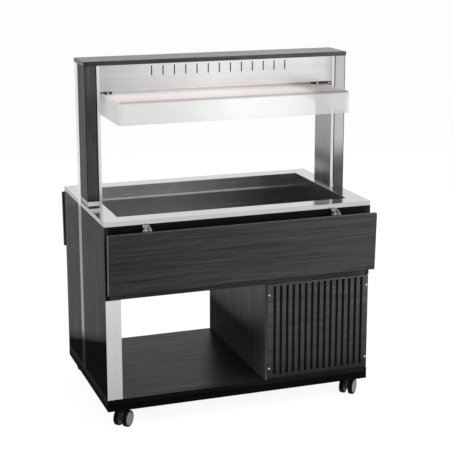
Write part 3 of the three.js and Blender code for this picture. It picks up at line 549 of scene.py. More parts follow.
def finsFinish(name):
    # thin aluminium fins on edge: fine upright lines with painted shade in the gaps between them, and dull with
    # dust
    made, tree, out = startMaterial(name)
    wave = addNode(tree, "ShaderNodeTexWave", {
        "Vector": objectPlace(tree), "Scale": 90.0, "Distortion": 0.0,
    }, bands_direction="X", wave_profile="SIN").outputs["Fac"]
    dust = noise(tree, objectPlace(tree), 14, 4)
    tint = ramp(tree, wave, [(0.2, 0.012), (0.8, 0.11)])
    tint = shaded(tree, tint, ramp(tree, dust, [(0.3, 0.7), (0.7, 1.0)]))
    finishSurface(
        tree, out, Base_Color=tint, Metallic=0.6, Roughness=0.55, Normal=bump(tree, wave, 0.6, 0.002),
    )
    return made


steelTone = (0.6, 0.605, 0.61)
darkGrain = ((0.02, 0.02, 0.021), (0.05, 0.05, 0.052))
finishes = {
    # painted shade and light: the front boards darken towards the floor and lighten from left to right
    "grainAcross": laminate(
        "laminateGrainAcross", alongX, (0.028, 0.028, 0.029), (0.084, 0.084, 0.086), paintedFrontShade, 0.34, 0.2,
        sweep=[(0.0, 0.68), (0.1, 0.76), (0.45, 1.14), (1.0, 1.28)],
    ),
    # painted shade and light: the sides darken towards the floor along a line that falls to the rear, and the
    # upright cover is painted lighter
    "grainUp": laminate(
        "laminateGrainUp", alongZ, *darkGrain, paintedSideShade, 0.36, 0.018, (0.3, 0.7, 0),
        slant=laminateLook["slant"], sheenHeights=laminateLook["sideSheenHeights"],
    ),
    # painted light: the bay's walls lighten towards the floor
    "bayGrain": laminate("laminateInTheBay", alongZ, *darkGrain, paintedBayLight, 0.36, 0.1, (0.3, 0.7, 0)),
    # painted shade: the grilles darken towards the floor
    "grilleGrain": laminate(
        "grilleLaminate", alongX, (0.062, 0.062, 0.064), (0.16, 0.16, 0.164), paintedFrontShade, 0.4, 0.25,
        (0, 0.4, 0.2),
    ),
    # painted light: the top board lightens from left to right
    "topBoard": laminate(
        "topBoardLaminate", alongX, (0.023, 0.023, 0.024), (0.055, 0.055, 0.057), evenTones, 0.28, 0.2,
        (0.2, 0, 0.5), sweep=[(0.0, 0.9), (0.35, 1.5), (0.7, 2.0), (1.0, 2.1)],
    ),
    # painted shade: the aprons turn near black above the flaps
    "apron": laminate(
        "apronLaminate", alongX, (0.028, 0.028, 0.029), (0.08, 0.08, 0.082), paintedApronShade, 0.4, 0.1
    ),
    "plinth": laminate(
        "plinthLaminate", alongX, (0.004, 0.004, 0.0045), (0.011, 0.011, 0.0115), evenTones, 0.4, 0.1
    ),
    "steelAcross": brushedSteel("brushedSteelAcross", alongX, (0.8, 0.805, 0.81), 0.24),
    # painted reflection: the fascias darken towards both ends
    "fasciaSteel": brushedSteel(
        "fasciaSteel", alongX, (0.95, 0.95, 0.95), 0.24,
        sweep=[(0.0, 0.62), (0.2, 0.82), (0.45, 1.0), (0.88, 0.97), (0.96, 0.84), (1.0, 0.62)],
    ),
    # painted shade: the columns darken towards the floor, in colour and in their glancing reflection
    "steelUp": brushedSteel(
        "brushedSteelUp", alongZ, steelTone, tones=paintedColumnShade, edge=paintedColumnEdgeShade,
        slant=laminateLook["slant"],
    ),
    # painted shade: the trims darken towards the floor
    "trimSteel": brushedSteel("trimSteel", alongZ, (0.7, 0.705, 0.71), tones=[(0.13, 0.72), (0.55, 1.0)]),
    # painted shade: the uprights' inner faces are darker, and darker still just over the worktop
    "uprightSteel": brushedSteel("uprightSteel", alongZ, (0.8, 0.8, 0.8), inward=0.42, tones=paintedUprightShade),
    # painted shade: the right cover darkens just over the worktop
    "coverSteel": brushedSteel("coverSteel", alongZ, (0.6, 0.6, 0.605), 0.24, tones=paintedCoverShade),
    # painted shade: the worktop's faces that look along X are darker
    "worktopSteel": brushedSteel("worktopSteel", alongX, steelTone, 0.09, 0.1, 0.02, inward=0.45),
    # painted light and shade: the well's end walls are darker, its upper walls lighter and its right end darker
    "wellSteel": brushedSteel(
        "wellSteel", alongX, (0.5, 0.502, 0.505), 0.2, 0.05, 0.006, inward=0.52, rim=True, streak=0.95,
        sweep=[(0.0, 1.0), (0.8, 1.0), (0.85, 0.8), (1.0, 0.78)],
    ),
    "hingeSteel": brushedSteel("hingeSteel", alongX, (0.44, 0.445, 0.45), 0.28, 0.14, 0.05),
    "guard": clearGuard("clearGuard"),
    "tube": glowingTube("litTube"),
    "aluminium": brushedSteel("aluminium", alongX, (0.5, 0.51, 0.52), 0.35, 0.15, 0.05),
    "fins": finsFinish("coolingFins"),
    "blackPaint": plainFinish("blackPaint", (0.012, 0.012, 0.013), 0.38),
    "blackPlastic": plainFinish("blackPlastic", (0.014, 0.014, 0.015), 0.42, grain=500),
    "whitePlastic": plainFinish("whitePlastic", (0.62, 0.62, 0.6), 0.4, grain=500),
    "greyPlastic": plainFinish("greyPlastic", (0.26, 0.26, 0.262), 0.45, grain=700),
    "casterPlastic": plainFinish("casterPlastic", (0.008, 0.008, 0.0082), 0.5, grain=700),
    "tyre": rubber("tyreRubber", (0.004, 0.004, 0.0042)),
    "blackRubber": rubber("blackRubber", (0.012, 0.012, 0.0125), 0.55),
    "copper": brushedSteel("drawnCopper", alongZ, (0.8, 0.42, 0.26)),
    "brass": brushedSteel("satinBrass", alongZ, (0.72, 0.56, 0.28), 0.26),
    "screwSteel": brushedSteel("screwSteel", alongX, (0.72, 0.72, 0.73), 0.25, 0.1, 0.02),
    "foam": foamFinish("insulatingFoam", (0.72, 0.6, 0.34)),
    # painted shade: the filter mat is near black, and also stands in for the shade of the bay behind the grille
    "filter": foamFinish("filterFoam", (0.006, 0.006, 0.006)),
}
print("finishes ready:", len(finishes))


def finishPiece(name, mesh, finish, body="cabinet", instead=(), angle=38):
    bmesh.ops.remove_doubles(mesh, verts=mesh.verts, dist=1e-6)
    bmesh.ops.recalc_face_normals(mesh, faces=mesh.faces)
    data = bpy.data.meshes.new(name)
    mesh.to_mesh(data)
    mesh.free()
    data.polygons.foreach_set("use_smooth", [True] * len(data.polygons))
    data.set_sharp_from_angle(angle=math.radians(angle))
    data.materials.append(finishes[finish])
    obj = bpy.data.objects.new(name, data)
    bpy.context.collection.objects.link(obj)
    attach(obj, body)
    if instead:
        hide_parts(*instead)
    return obj


def evenNormals(obj):
    # broad faces keep their own normal right up to their softened edges
    even = obj.modifiers.new("evenNormals", "WEIGHTED_NORMAL")
    even.mode = "FACE_AREA"
    even.weight = 100
    even.keep_sharp = True


def sharpEdges(mesh, angle):
    return [
        e for e in mesh.edges
        if len(e.link_faces) == 2 and e.calc_face_angle(0) > math.radians(angle)
    ]


def takeOffEdges(mesh, edges, width, segments):
    bmesh.ops.bevel(
        mesh, geom=edges, offset=width, offset_type="OFFSET", segments=segments, profile=0.5,
        affect="EDGES", clamp_overlap=True, material=-1,
    )


softening = {"flatWithin": 0.6, "sharpFrom": 50.0, "segments": 2}  # angles in degrees


def softenedCopy(name, finish, width):
    # the frame's own shape, its flat faces made whole and its edges taken off
    mesh = bmesh.new()
    mesh.from_mesh(nodes[name].data)
    bmesh.ops.remove_doubles(mesh, verts=mesh.verts, dist=2e-6)
    bmesh.ops.dissolve_limit(
        mesh, angle_limit=math.radians(softening["flatWithin"]), verts=mesh.verts, edges=mesh.edges,
        use_dissolve_boundaries=False,
    )
    if width:
        takeOffEdges(mesh, sharpEdges(mesh, softening["sharpFrom"]), width * mm, softening["segments"])
    evenNormals(finishPiece(f"{name}_finished", mesh, finish, bodyOf[name], (name,)))


# finish, edge radius in mm and the nodes that have them
coverings = [
    ("grainAcross", 0.9, ["base_board", "front_flap", "rear_flap"]),
    ("grainUp", 0.9, [
        "left_front_cladding", "left_rear_cladding", "right_front_cladding", "right_rear_cladding",
        "left_cover",
    ]),
    ("bayGrain", 0.9, ["left_inner_wall", "divider_wall"]),
    ("grilleGrain", 0.6, ["front_grille", "rear_grille"]),
    ("topBoard", 1.2, ["top_board"]),
    ("plinth", 0.9, ["base_frame"]),
    ("apron", 0.9, ["front_apron", "rear_apron"]),
    ("fasciaSteel", 0.0, ["front_fascia", "rear_fascia"]),
    ("steelUp", 0.8, ["left_column", "right_column"]),
    ("trimSteel", 0.8, ["left_front_trim", "left_rear_trim"]),
    ("coverSteel", 0.8, ["right_cover"]),
    ("uprightSteel", 0.0, ["left_upright_frame", "right_upright_frame"]),
    # painted shade: the drain pipe is given black plastic so that it stays dark in the shaded bay
    ("blackPlastic", 0.0, ["drain_pipe"]),
    ("worktopSteel", 1.3, ["worktop"]),
    ("wellSteel", 0.0, ["well_liner"]),
    ("guard", 0.0, ["breath_guard"]),
    ("tube", 0.0, ["lamp_tube"]),
    ("aluminium", 0.8, ["lamp_housing"]),
    ("blackPaint", 0.0, ["compressor", "fan_shroud"]),
    ("blackPlastic", 0.8, ["control_panel", "power_switch", "lamp_switch"]),
    ("blackPlastic", 0.0, ["condenser_fan", "thermostat_knob"]),
    ("brass", 0.6, ["drain_lever"]),
    ("copper", 0.0, ["suction_line"]),
    ("hingeSteel", 0.0, [
        f"{end}_{side}_{part}" for end in ("front", "rear") for side in ("left", "right")
        for part in ("bracket", "arm")
    ]),
]
for finish, width, names in coverings:
    for name in names:
        softenedCopy(name, finish, width)
# nodes that keep their own mesh
for name, finish in (
    ("well_casing", "steelAcross"), ("insulation", "foam"), ("evaporator_plate", "aluminium"),
    ("condenser", "fins"),
):
    nodes[name].data.materials.clear()
    nodes[name].data.materials.append(finishes[finish])
print("frame finished")


# shapes

def alongAxis(start, end):
    # a frame whose Z runs from start to end, set at start
    way = (Vector(end) - Vector(start)).normalized()
    return Matrix.Translation(start) @ way.to_track_quat("Z", "Y").to_matrix().to_4x4()


def aroundY(turn):
    # a way in the plane of X and Z, turned from X
    return Vector((math.cos(turn), 0, math.sin(turn)))


def addBlock(mesh, low, high, edge, segments=2):
    low, high = Vector(low), Vector(high)
    made = bmesh.ops.create_cube(mesh, size=1.0)["verts"]
    bmesh.ops.scale(mesh, vec=high - low, verts=made)
    bmesh.ops.translate(mesh, vec=(low + high) / 2, verts=made)
    takeOffEdges(mesh, list({e for v in made for e in v.link_edges}), edge, segments)


def addSurround(mesh, low, high, band, edge):
    # four bars around an opening that looks along Y, between its outer corners
    for first, last in (
        (low, (low.x + band, high.y, high.z)), ((high.x - band, low.y, low.z), high),
        (low, (high.x, high.y, low.z + band)), ((low.x, low.y, high.z - band), high),
    ):
        addBlock(mesh, first, last, edge)


def addSlab(mesh, outline, width):
    # an outline drawn out along X
    face = mesh.faces.new([mesh.verts.new(point) for point in outline])
    grown = bmesh.ops.extrude_face_region(mesh, geom=[face])["geom"]
    moved = [v for v in grown if isinstance(v, bmesh.types.BMVert)]
    bmesh.ops.translate(mesh, vec=(width, 0, 0), verts=moved)


def addRod(mesh, start, end, radius, sides=24, radiusEnd=None):
    length = (Vector(end) - Vector(start)).length
    made = bmesh.ops.create_cone(
        mesh, cap_ends=True, segments=sides, radius1=radius,
        radius2=radius if radiusEnd is None else radiusEnd, depth=length,
    )["verts"]
    bmesh.ops.transform(
        mesh, matrix=alongAxis(start, end) @ Matrix.Translation((0, 0, length / 2)), verts=made,
    )


def addTurned(mesh, outline, place, steps=40, closed=False):
    # outline is (radius, height) pairs, turned about Z, then set by the matrix place
    made = [mesh.verts.new((r, 0, h)) for r, h in outline]
    pairs = list(zip(made, made[1:])) + ([(made[-1], made[0])] if closed else [])
    edges = [mesh.edges.new(pair) for pair in pairs]
    bmesh.ops.spin(
        mesh, geom=made + edges, cent=(0, 0, 0), axis=(0, 0, 1), angle=2 * math.pi, steps=steps,
        use_merge=True, use_duplicate=False,
    )
    shape = set(made)
    ahead = list(made)
    while ahead:
        vert = ahead.pop()
        for edge in vert.link_edges:
            other = edge.other_vert(vert)
            if other not in shape:
                shape.add(other)
                ahead.append(other)
    bmesh.ops.remove_doubles(mesh, verts=list(shape), dist=1e-6)
    bmesh.ops.transform(mesh, matrix=place, verts=[v for v in shape if v.is_valid])


def ringEdges(ring):
    members = set(ring)
    return list({e for v in ring for e in v.link_edges if e.other_vert(v) in members})


def addTube(mesh, points, radius, sides=12):
    # a round tube through the points, ring by ring
    points = [Vector(p) for p in points]
    rings = []
    for i, point in enumerate(points):
        before = points[max(i - 1, 0)]
        after = points[min(i + 1, len(points) - 1)]
        turn = (after - before).normalized().to_track_quat("Z", "Y").to_matrix().to_4x4()
        ring = bmesh.ops.create_circle(mesh, cap_ends=False, segments=sides, radius=radius)["verts"]
        bmesh.ops.transform(mesh, matrix=Matrix.Translation(point) @ turn, verts=ring)
        rings.append(ring)
    for first, second in zip(rings, rings[1:]):
        bmesh.ops.bridge_loops(mesh, edges=ringEdges(first) + ringEdges(second))
    for ring in (rings[0], rings[-1]):
        bmesh.ops.contextual_create(mesh, geom=ringEdges(ring))


def arcPoints(centre, radius, start, end, count, u, v):
    centre, u, v = Vector(centre), Vector(u), Vector(v)
    turns = [math.radians(start + (end - start) * i / (count - 1)) for i in range(count)]
    return [centre + radius * (u * math.cos(t) + v * math.sin(t)) for t in turns]


screwLook = {
    "radius": 4.2,
    "rise": 1.5,
    "side": ((1, -1), (1, 0.15), (0.86, 0.62), (0.55, 0.92)),  # shares of the radius and of the rise
    "slot": 1.0,
    "crossReach": 0.55,  # share of the radius
    "crossDepth": 0.5,
    "crossSink": 0.15,  # its middle is this much under the top of the head
}


def addScrew(mesh, face, out, radius):
    # round head that stands on face
    r, rise = radius * mm, screwLook["rise"] * mm
    outline = [(0, -rise), *((r * a, rise * b) for a, b in screwLook["side"]), (0, rise)]
    addTurned(mesh, outline, alongAxis(face, Vector(face) + Vector(out)), steps=20)


def addRecess(mesh, face, out, radius):
    # dark cross recess in the head
    reach, half = screwLook["crossReach"] * radius * mm, screwLook["slot"] * mm / 2
    sunk = Matrix.Translation((0, 0, (screwLook["rise"] - screwLook["crossSink"]) * mm))
    place = alongAxis(face, Vector(face) + Vector(out)) @ sunk
    for a, b in ((reach, half), (half, reach)):
        made = bmesh.ops.create_cube(mesh, size=1.0)["verts"]
        bmesh.ops.scale(mesh, vec=(2 * a, 2 * b, screwLook["crossDepth"] * mm), verts=made)
        bmesh.ops.transform(mesh, matrix=place, verts=made)


def screwSet(name, places, out, radius=screwLook["radius"], body="cabinet"):
    heads, crosses = bmesh.new(), bmesh.new()
    for place in places:
        addScrew(heads, place, out, radius)
        addRecess(crosses, place, out, radius)
    finishPiece(name, heads, "screwSteel", body)
    finishPiece(f"{name}_recesses", crosses, "blackPaint", body)


# casters: twin wheels with domed grey discs, and a black body between them

caster = {
    "wheelRadius": 35.0,
    "inner": 10.0,  # half the gap between the wheels
    "outer": 30.0,
    "shoulder": 3.4,  # radius of the tyre's edges
    "crown": (1.2, 0.15),  # half width and rise of the ridge round the tread
    "lip": 0.8,  # the tyre's edge around the disc
    "discRadius": 29.0,
    "discPlay": 0.4,
    "dome": 0.99,  # how far the disc falls from its middle to its rim
    "cap": (4.5, 5.2),  # radii of the small cap on the axle
    "capHeights": (1.1, 0.704, 0.39),  # cap, its foot and the dome's middle, over the outer face
    # outside of the disc: shares of its radius where the dome is measured, then the groove at its rim
    "domeShares": (0.3, 0.45, 0.6, 0.75, 0.86),
    "groove": [(0.9, 0.9), (0.925, 1.3), (0.95, 0.8)],  # share of the radius, mm below the outer face
    "rimFace": [(0.9, 0.9), (0.4, 1.5)],  # mm in from the rim and below the outer face
    # back of the disc: mm in from its rim, or out from the axle, and over the inner face
    "rimBack": [(0.4, 0.8), (2.0, 0.4), (4.0, 2.4)],
    "hubBack": [(11.0, 2.4), (8.0, -1.0), (0.0, -1.0)],
    # side of the body: mm ahead of the axle and over the floor
    "bodySide": [
        (26.0, 72.0), (-4.0, 72.0), (-15.0, 60.0), (-19.5, 46.0), (-19.0, 30.0), (-10.0, 20.0),
        (3.0, 18.5), (12.0, 24.0), (19.0, 36.0), (24.0, 46.0), (27.0, 58.0),
    ],
    "bodyHalf": 8.0,
    "bodyCorner": 4.0,
    "bodyEdge": 1.6,
    "plateRadius": 23.0,
    "plateTop": 74.7,
    # side of the plate: share of its radius, mm below its top
    "plateSide": [
        (0.0, 0.0), (0.97, 0.0), (1.0, 0.6), (1.0, 2.6), (0.9, 4.0), (0.72, 4.6), (0.7, 6.4), (0.0, 6.4),
    ],
    "stem": (-1.0, 24.0, 6.0),  # bottom and top from the plate's top, radius
    "axleRadius": 4.0,
    "axleShort": 3.0,  # the axle ends this much inside the wheels' outer faces
}


def tyreOutline():
    r, a, b, d = (caster[k] * mm for k in ("wheelRadius", "inner", "outer", "discRadius"))
    soft, lip, play = (caster[k] * mm for k in ("shoulder", "lip", "discPlay"))
    wide, rise = inMetres(caster["crown"])
    turns = [math.radians(v) for v in (0, 22, 45, 68, 90)]
    edge = [(r - soft + soft * math.sin(t), b - soft + soft * math.cos(t)) for t in turns]
    half = (a + b) / 2
    tread = [(r, half + wide), (r + rise, half), (r, half - wide)]
    inward = [(x, a + b - h) for x, h in reversed(edge)]
    return [
        (d - play, b - lip), (d + lip, b), *edge, *tread, *inward, (d + lip, a), (d - play, a + lip),
    ]


def discOutline():
    a, b, d, dome = (caster[k] * mm for k in ("inner", "outer", "discRadius", "dome"))
    cap, foot = inMetres(caster["cap"])
    capTop, capFoot, domeTop = (b + value for value in inMetres(caster["capHeights"]))
    outline = [(0, capTop), (cap, capTop), (foot, capFoot)]
    outline += [(d * s, domeTop - dome * s ** 2) for s in caster["domeShares"]]
    outline += [(d * s, b - depth * mm) for s, depth in caster["groove"]]
    outline += [(d - inset * mm, b - depth * mm) for inset, depth in caster["rimFace"]]
    outline += [(d - inset * mm, a + over * mm) for inset, over in caster["rimBack"]]
    return outline + [(out * mm, a + over * mm) for out, over in caster["hubBack"]]


def makeCaster(end, side):
    label = f"{end}_{side}"
    wheels, swivel = f"{label}_wheels", f"{label}_swivel"
    axis, up = Vector(joints[f"{label}_wheel_spin"]["axis"]).normalized(), Vector((0, 0, 1))
    axle = Matrix((axis, up.cross(axis), up)).transposed().to_4x4()
    axle.translation = jointPlace(f"{label}_wheel_spin")
    tyres, discs, body, fittings = (bmesh.new() for _ in range(4))
    for way in (1, -1):
        turned = axle @ Matrix.Rotation(math.radians(90 * way), 4, "Y")
        addTurned(tyres, tyreOutline(), turned, steps=56, closed=True)
        addTurned(discs, discOutline(), turned, steps=48)
    finishPiece(f"tyres_{label}", tyres, "tyre", wheels, (f"wheels_{label}",), angle=50)
    finishPiece(f"hub_discs_{label}", discs, "greyPlastic", wheels, angle=42)
    # body, in the axle's own frame first
    half, r = caster["bodyHalf"] * mm, caster["wheelRadius"]
    addSlab(body, [(-half, y * mm, (z - r) * mm) for y, z in caster["bodySide"]], 2 * half)
    corners = [e for e in body.edges if abs(e.verts[0].co.x - e.verts[1].co.x) > half]
    takeOffEdges(body, corners, caster["bodyCorner"] * mm, segments=4)
    bmesh.ops.recalc_face_normals(body, faces=body.faces)
    takeOffEdges(body, sharpEdges(body, 60), caster["bodyEdge"] * mm, segments=3)
    bmesh.ops.transform(body, matrix=axle, verts=body.verts)
    finishPiece(f"caster_body_{label}", body, "casterPlastic", swivel, (f"caster_{label}",), angle=40)
    # plate, stem and axle
    centre = jointPlace(f"{label}_caster_swivel")
    top, plate = caster["plateTop"] * mm, caster["plateRadius"] * mm
    outline = [(plate * share, top - drop * mm) for share, drop in caster["plateSide"]]
    addTurned(fittings, outline, Matrix.Translation((centre.x, centre.y, 0)))
    stemLow, stemHigh, stemRadius = inMetres(caster["stem"])
    addRod(fittings, (centre.x, centre.y, top + stemLow), (centre.x, centre.y, top + stemHigh), stemRadius)
    reach = axis * (caster["outer"] - caster["axleShort"]) * mm
    axlePlace, radius = axle.translation, caster["axleRadius"] * mm
    addRod(fittings, axlePlace - reach, axlePlace + reach, radius, sides=20)
    finishPiece(f"caster_fittings_{label}", fittings, "screwSteel", swivel)


for end in ("front", "rear"):
    for side in ("left", "right"):
        makeCaster(end, side)
print("casters made")


# screws of the grilles, and the dust filter behind the front one

grille = {"screwInset": 7.0, "screwLow": 47.0, "screwTop": 46.3, "screwRadius": 4.6}
dustFilter = {
    "inset": 8.0,  # from the grille's outline, and the width of the frame's bars
    "gap": 1.5,
    "depth": 6.0,
    "matEdge": 1.0,
    "frameProud": (0.8, 1.0),  # before and behind the mat
    "frameEdge": 0.6,
}


def makeGrilleScrews():
    inset, radius = grille["screwInset"] * mm, grille["screwRadius"]
    for end, way in (("front", -1), ("rear", 1)):
        low, high = span(f"{end}_grille")
        face = low.y if way < 0 else high.y
        zs = (low.z + grille["screwLow"] * mm, high.z - grille["screwTop"] * mm)
        places = [(x, face, z) for x in (low.x + inset, high.x - inset) for z in zs]
        screwSet(f"{end}_grille_screws", places, (0, way, 0), radius)


def makeFilter():
    low, high = span("front_grille")
    inset, back = dustFilter["inset"] * mm, high.y + dustFilter["gap"] * mm
    first = Vector((low.x + inset, back, low.z + inset))
    last = Vector((high.x - inset, back + dustFilter["depth"] * mm, high.z - inset))
    before, behind = (Vector((0, value * mm, 0)) for value in dustFilter["frameProud"])
    mat, edges = bmesh.new(), bmesh.new()
    # a dust filter; its near-black mat is also painted shade for the bay behind the grille
    addBlock(mat, first, last, dustFilter["matEdge"] * mm)
    addSurround(edges, first - before, last + behind, inset, dustFilter["frameEdge"] * mm)
    finishPiece("filter_mat", mat, "filter")
    finishPiece("filter_frame", edges, "blackPlastic")


makeGrilleScrews()
makeFilter()


# machine bay: terminal cover, pipes, feet, condenser tubes and the fan's wire guard

compressor = {
    "shellInset": 12.0,  # from the outside of the compressor's feet in to its shell
    "seamHeight": 0.52,  # share of its height
    "seam": 3.0,
    "cover": ((-26.0, -26.0, -34.0), (26.0, 14.0, 30.0)),  # corners, from the shell's front at the seam
    "coverEdge": 4.0,
    "footOut": 74.0,
    "foot": (3.0, 13.0, 11.0, 8.0),  # bottom, top, radius below and above
    "footBolt": (12.0, 19.0, 4.5),  # bottom, top, radius
}


def makeCompressorFittings():
    low, high = span("compressor")
    centre = middle(low, high)
    radius = (high.x - low.x) / 2 - compressor["shellInset"] * mm
    seam, seamZ = compressor["seam"] * mm, low.z + compressor["seamHeight"] * (high.z - low.z)
    painted, rubbers, bolts = bmesh.new(), bmesh.new(), bmesh.new()
    inner, outer, thin = radius - seam, radius + seam, seam * 0.6
    band = [(inner, -seam), (outer, -thin), (outer, thin), (inner, seam)]
    addTurned(painted, band, Matrix.Translation((centre.x, centre.y, seamZ)), steps=56, closed=True)
    front = Vector((centre.x, centre.y - radius, seamZ))
    first, last = (front + Vector(corner) * mm for corner in compressor["cover"])
    addBlock(painted, first, last, compressor["coverEdge"] * mm, segments=3)
    footLow, footHigh, footWide, footNarrow = inMetres(compressor["foot"])
    boltLow, boltHigh, boltRadius = inMetres(compressor["footBolt"])
    up = Vector((0, 0, 1))
    for dx in (-1, 1):
        for dy in (-1, 1):
            foot = Vector((centre.x, centre.y, low.z)) + Vector((dx, dy, 0)) * compressor["footOut"] * mm
            addRod(rubbers, foot + up * footLow, foot + up * footHigh, footWide, radiusEnd=footNarrow)
            addRod(bolts, foot + up * boltLow, foot + up * boltHigh, boltRadius, sides=6)
    finishPiece("compressor_fittings", painted, "blackPaint")
    finishPiece("compressor_feet", rubbers, "blackRubber")
    finishPiece("compressor_bolts", bolts, "screwSteel")
    makeDischargeLine(centre, radius, low.z)


dischargeLine = {
    "radius": 4.0,
    "bend": 26.0,
    "start": (0.86, 18.0, 128.0),  # share of the shell's radius, mm to the rear, mm up
    "run": 24.0,
    "underTop": 34.0,  # below the condenser's top
    "end": 96.0,  # behind the condenser
}


def makeDischargeLine(centre, shellRadius, floorZ):
    # pipe from the compressor to the condenser, in two round bends
    condenserTop = span("condenser")[1]
    share, behind, over = dischargeLine["start"]
    bend, rise = dischargeLine["bend"] * mm, condenserTop.z - dischargeLine["underTop"] * mm
    start = Vector((centre.x - shellRadius * share, centre.y + behind * mm, floorZ + over * mm))
    turn = start - Vector((dischargeLine["run"] * mm, 0, 0))
    points = [start, turn]
    points += arcPoints(turn + Vector((0, 0, bend)), bend, -90, -180, 7, (1, 0, 0), (0, 0, 1))[1:]
    corner = points[-1]
    points += arcPoints((corner.x, corner.y - bend, rise - bend), bend, 0, 90, 7, (0, 1, 0), (0, 0, 1))
    points.append(Vector((corner.x, condenserTop.y + dischargeLine["end"] * mm, rise)))
    line = bmesh.new()
    addTube(line, points, dischargeLine["radius"] * mm)
    finishPiece("discharge_line", line, "copper")


condenserBends = {
    "rows": 7,
    "radius": 4.8,
    "inset": (14.0, 12.0, 15.0),  # from the condenser's front, rear, and top and bottom
    "out": 2.0,
}


def makeCondenserTubes():
    low, high = span("condenser")
    before, behind, inset = inMetres(condenserBends["inset"])
    rows, out = condenserBends["rows"], condenserBends["out"] * mm
    pitch = (high.z - low.z - 2 * inset) / (2 * rows - 1)
    tubes = bmesh.new()
    for face, way in ((low.x, -1), (high.x, 1)):
        for row in range(rows - (way > 0)):
            first = low.z + inset + pitch * (2 * row + (way > 0))
            for y in (low.y + before, high.y - behind):
                centre = (face + way * out, y, first + pitch / 2)
                bend = arcPoints(centre, pitch / 2, -90, 90, 9, (way, 0, 0), (0, 0, 1))
                addTube(tubes, bend, condenserBends["radius"] * mm, sides=10)
    finishPiece("condenser_bends", tubes, "copper")


fanGuard = {
    "gap": 3.0,
    "reach": 112.0,
    "rings": 6,
    "wire": 1.4,
    "spokes": 4,
    "spokeWire": 1.7,
    "spokeLift": 1.6,  # the spokes lie on the rings
    "spokeFrom": 0.15,  # share of the reach
    "spokeFoot": 2.0,
}


def makeFanGuard():
    low, high = span("fan_shroud")
    hub = jointPlace("fan_spin")
    hub.y = high.y + fanGuard["gap"] * mm
    reach, wire, spokeWire = (fanGuard[k] * mm for k in ("reach", "wire", "spokeWire"))
    turned = Matrix.Translation(hub) @ Matrix.Rotation(math.radians(90), 4, "X")
    corners = [math.radians(60 * k) for k in range(6)]
    wires = bmesh.new()
    for ring in range(1, fanGuard["rings"] + 1):
        r = reach * ring / fanGuard["rings"]
        section = [(r + wire * math.cos(t), wire * math.sin(t)) for t in corners]
        addTurned(wires, section, turned, closed=True)
    at = hub + Vector((0, fanGuard["spokeLift"] * mm, 0))
    for spoke in range(fanGuard["spokes"]):
        way = aroundY(math.radians(45 + 360 / fanGuard["spokes"] * spoke)) * reach
        foot = at + way
        addTube(wires, [at + way * fanGuard["spokeFrom"], foot], spokeWire, sides=8)
        end = (foot.x, low.y + fanGuard["spokeFoot"] * mm, foot.z)
        addTube(wires, [foot, end], spokeWire, sides=8)
    finishPiece("fan_wire_guard", wires, "screwSteel")


makeCompressorFittings()
makeCondenserTubes()
makeFanGuard()
print("machine bay made")


# rear controls: bezels, knob mark, inlet pins and screws

switchBezels = {
    "width": 2.6,
    "play": 0.5,
    "edge": 0.5,
    "rise": 2.2,
}


def makeBezels(face):
    bezels = bmesh.new()
    wide, rise, play, edge = (switchBezels[k] * mm for k in ("width", "rise", "play", "edge"))
    for switch in ("power_switch", "lamp_switch"):
        low, high = span(switch)
        first = Vector((low.x - wide, face, low.z - wide))
        last = Vector((high.x + wide, face + rise, high.z + wide))
        addSurround(bezels, first, last, wide - play, edge)
    finishPiece("switch_bezels", bezels, "blackPlastic")


thermostat = {
    "ticks": 11,
    "tickStart": -50.0,
    "tickSweep": 280.0,
    "tickFrom": 20.0,  # from the knob's axis
    "tickLong": 5.0,  # every fifth
    "tickShort": 3.0,
    "tickWire": 0.6,
    "tickLift": 0.1,
    "pointerHalf": 0.9,
    "pointerRise": 0.4,
    "pointerEnds": (4.0, 3.0),  # from the axis, and in from the knob's rim
    "pointerEdge": 0.2,
}


def makeThermostatMarks(face):
    marks, pointer = bmesh.new(), bmesh.new()
    axis, knobHigh = jointPlace("thermostat_turn"), span("thermostat_knob")[1]
    centre = Vector((axis.x, face + thermostat["tickLift"] * mm, axis.z))
    step = thermostat["tickSweep"] / (thermostat["ticks"] - 1)
    for tick in range(thermostat["ticks"]):
        way = aroundY(math.radians(thermostat["tickStart"] + step * tick)) * mm
        start = centre + way * thermostat["tickFrom"]
        length = thermostat["tickShort" if tick % 5 else "tickLong"]
        addTube(marks, [start, start + way * length], thermostat["tickWire"] * mm, sides=6)
    finishPiece("thermostat_marks", marks, "whitePlastic")
    half, rise, edge = (thermostat[k] * mm for k in ("pointerHalf", "pointerRise", "pointerEdge"))
    inner, outer = inMetres(thermostat["pointerEnds"])
    addBlock(
        pointer, (axis.x - half, knobHigh.y - rise, axis.z + inner),
        (axis.x + half, knobHigh.y + rise, knobHigh.z - outer), edge, segments=1,
    )
    finishPiece("thermostat_pointer", pointer, "whitePlastic", "thermostat_knob")


inletPins = {
    "pins": ((-7.0, -3.0), (7.0, -3.0), (0.0, 3.4)),  # x and z from the middle of the inlet
    "pinHalf": (1.0, 2.0),
    "pinReach": (-1.0, 13.0),  # from the inlet's floor
    "pinEdge": 0.4,
}


def makeInletPins():
    pins = bmesh.new()
    low, high = openings["mains_inlet"]
    centre = middle(low, high)
    halfX, halfZ = inMetres(inletPins["pinHalf"])
    first, last = (low[1] + value for value in inMetres(inletPins["pinReach"]))
    edge = inletPins["pinEdge"] * mm
    for dx, dz in inletPins["pins"]:
        x, z = centre.x + dx * mm, centre.z + dz * mm
        addBlock(pins, (x - halfX, first, z - halfZ), (x + halfX, last, z + halfZ), edge, segments=1)
    finishPiece("inlet_pins", pins, "screwSteel")


panel = {
    "face": 24.8,  # from the inner side of the panel's box out to its face
    "screwInset": 7.0,
    "screwRadius": 3.4,
}


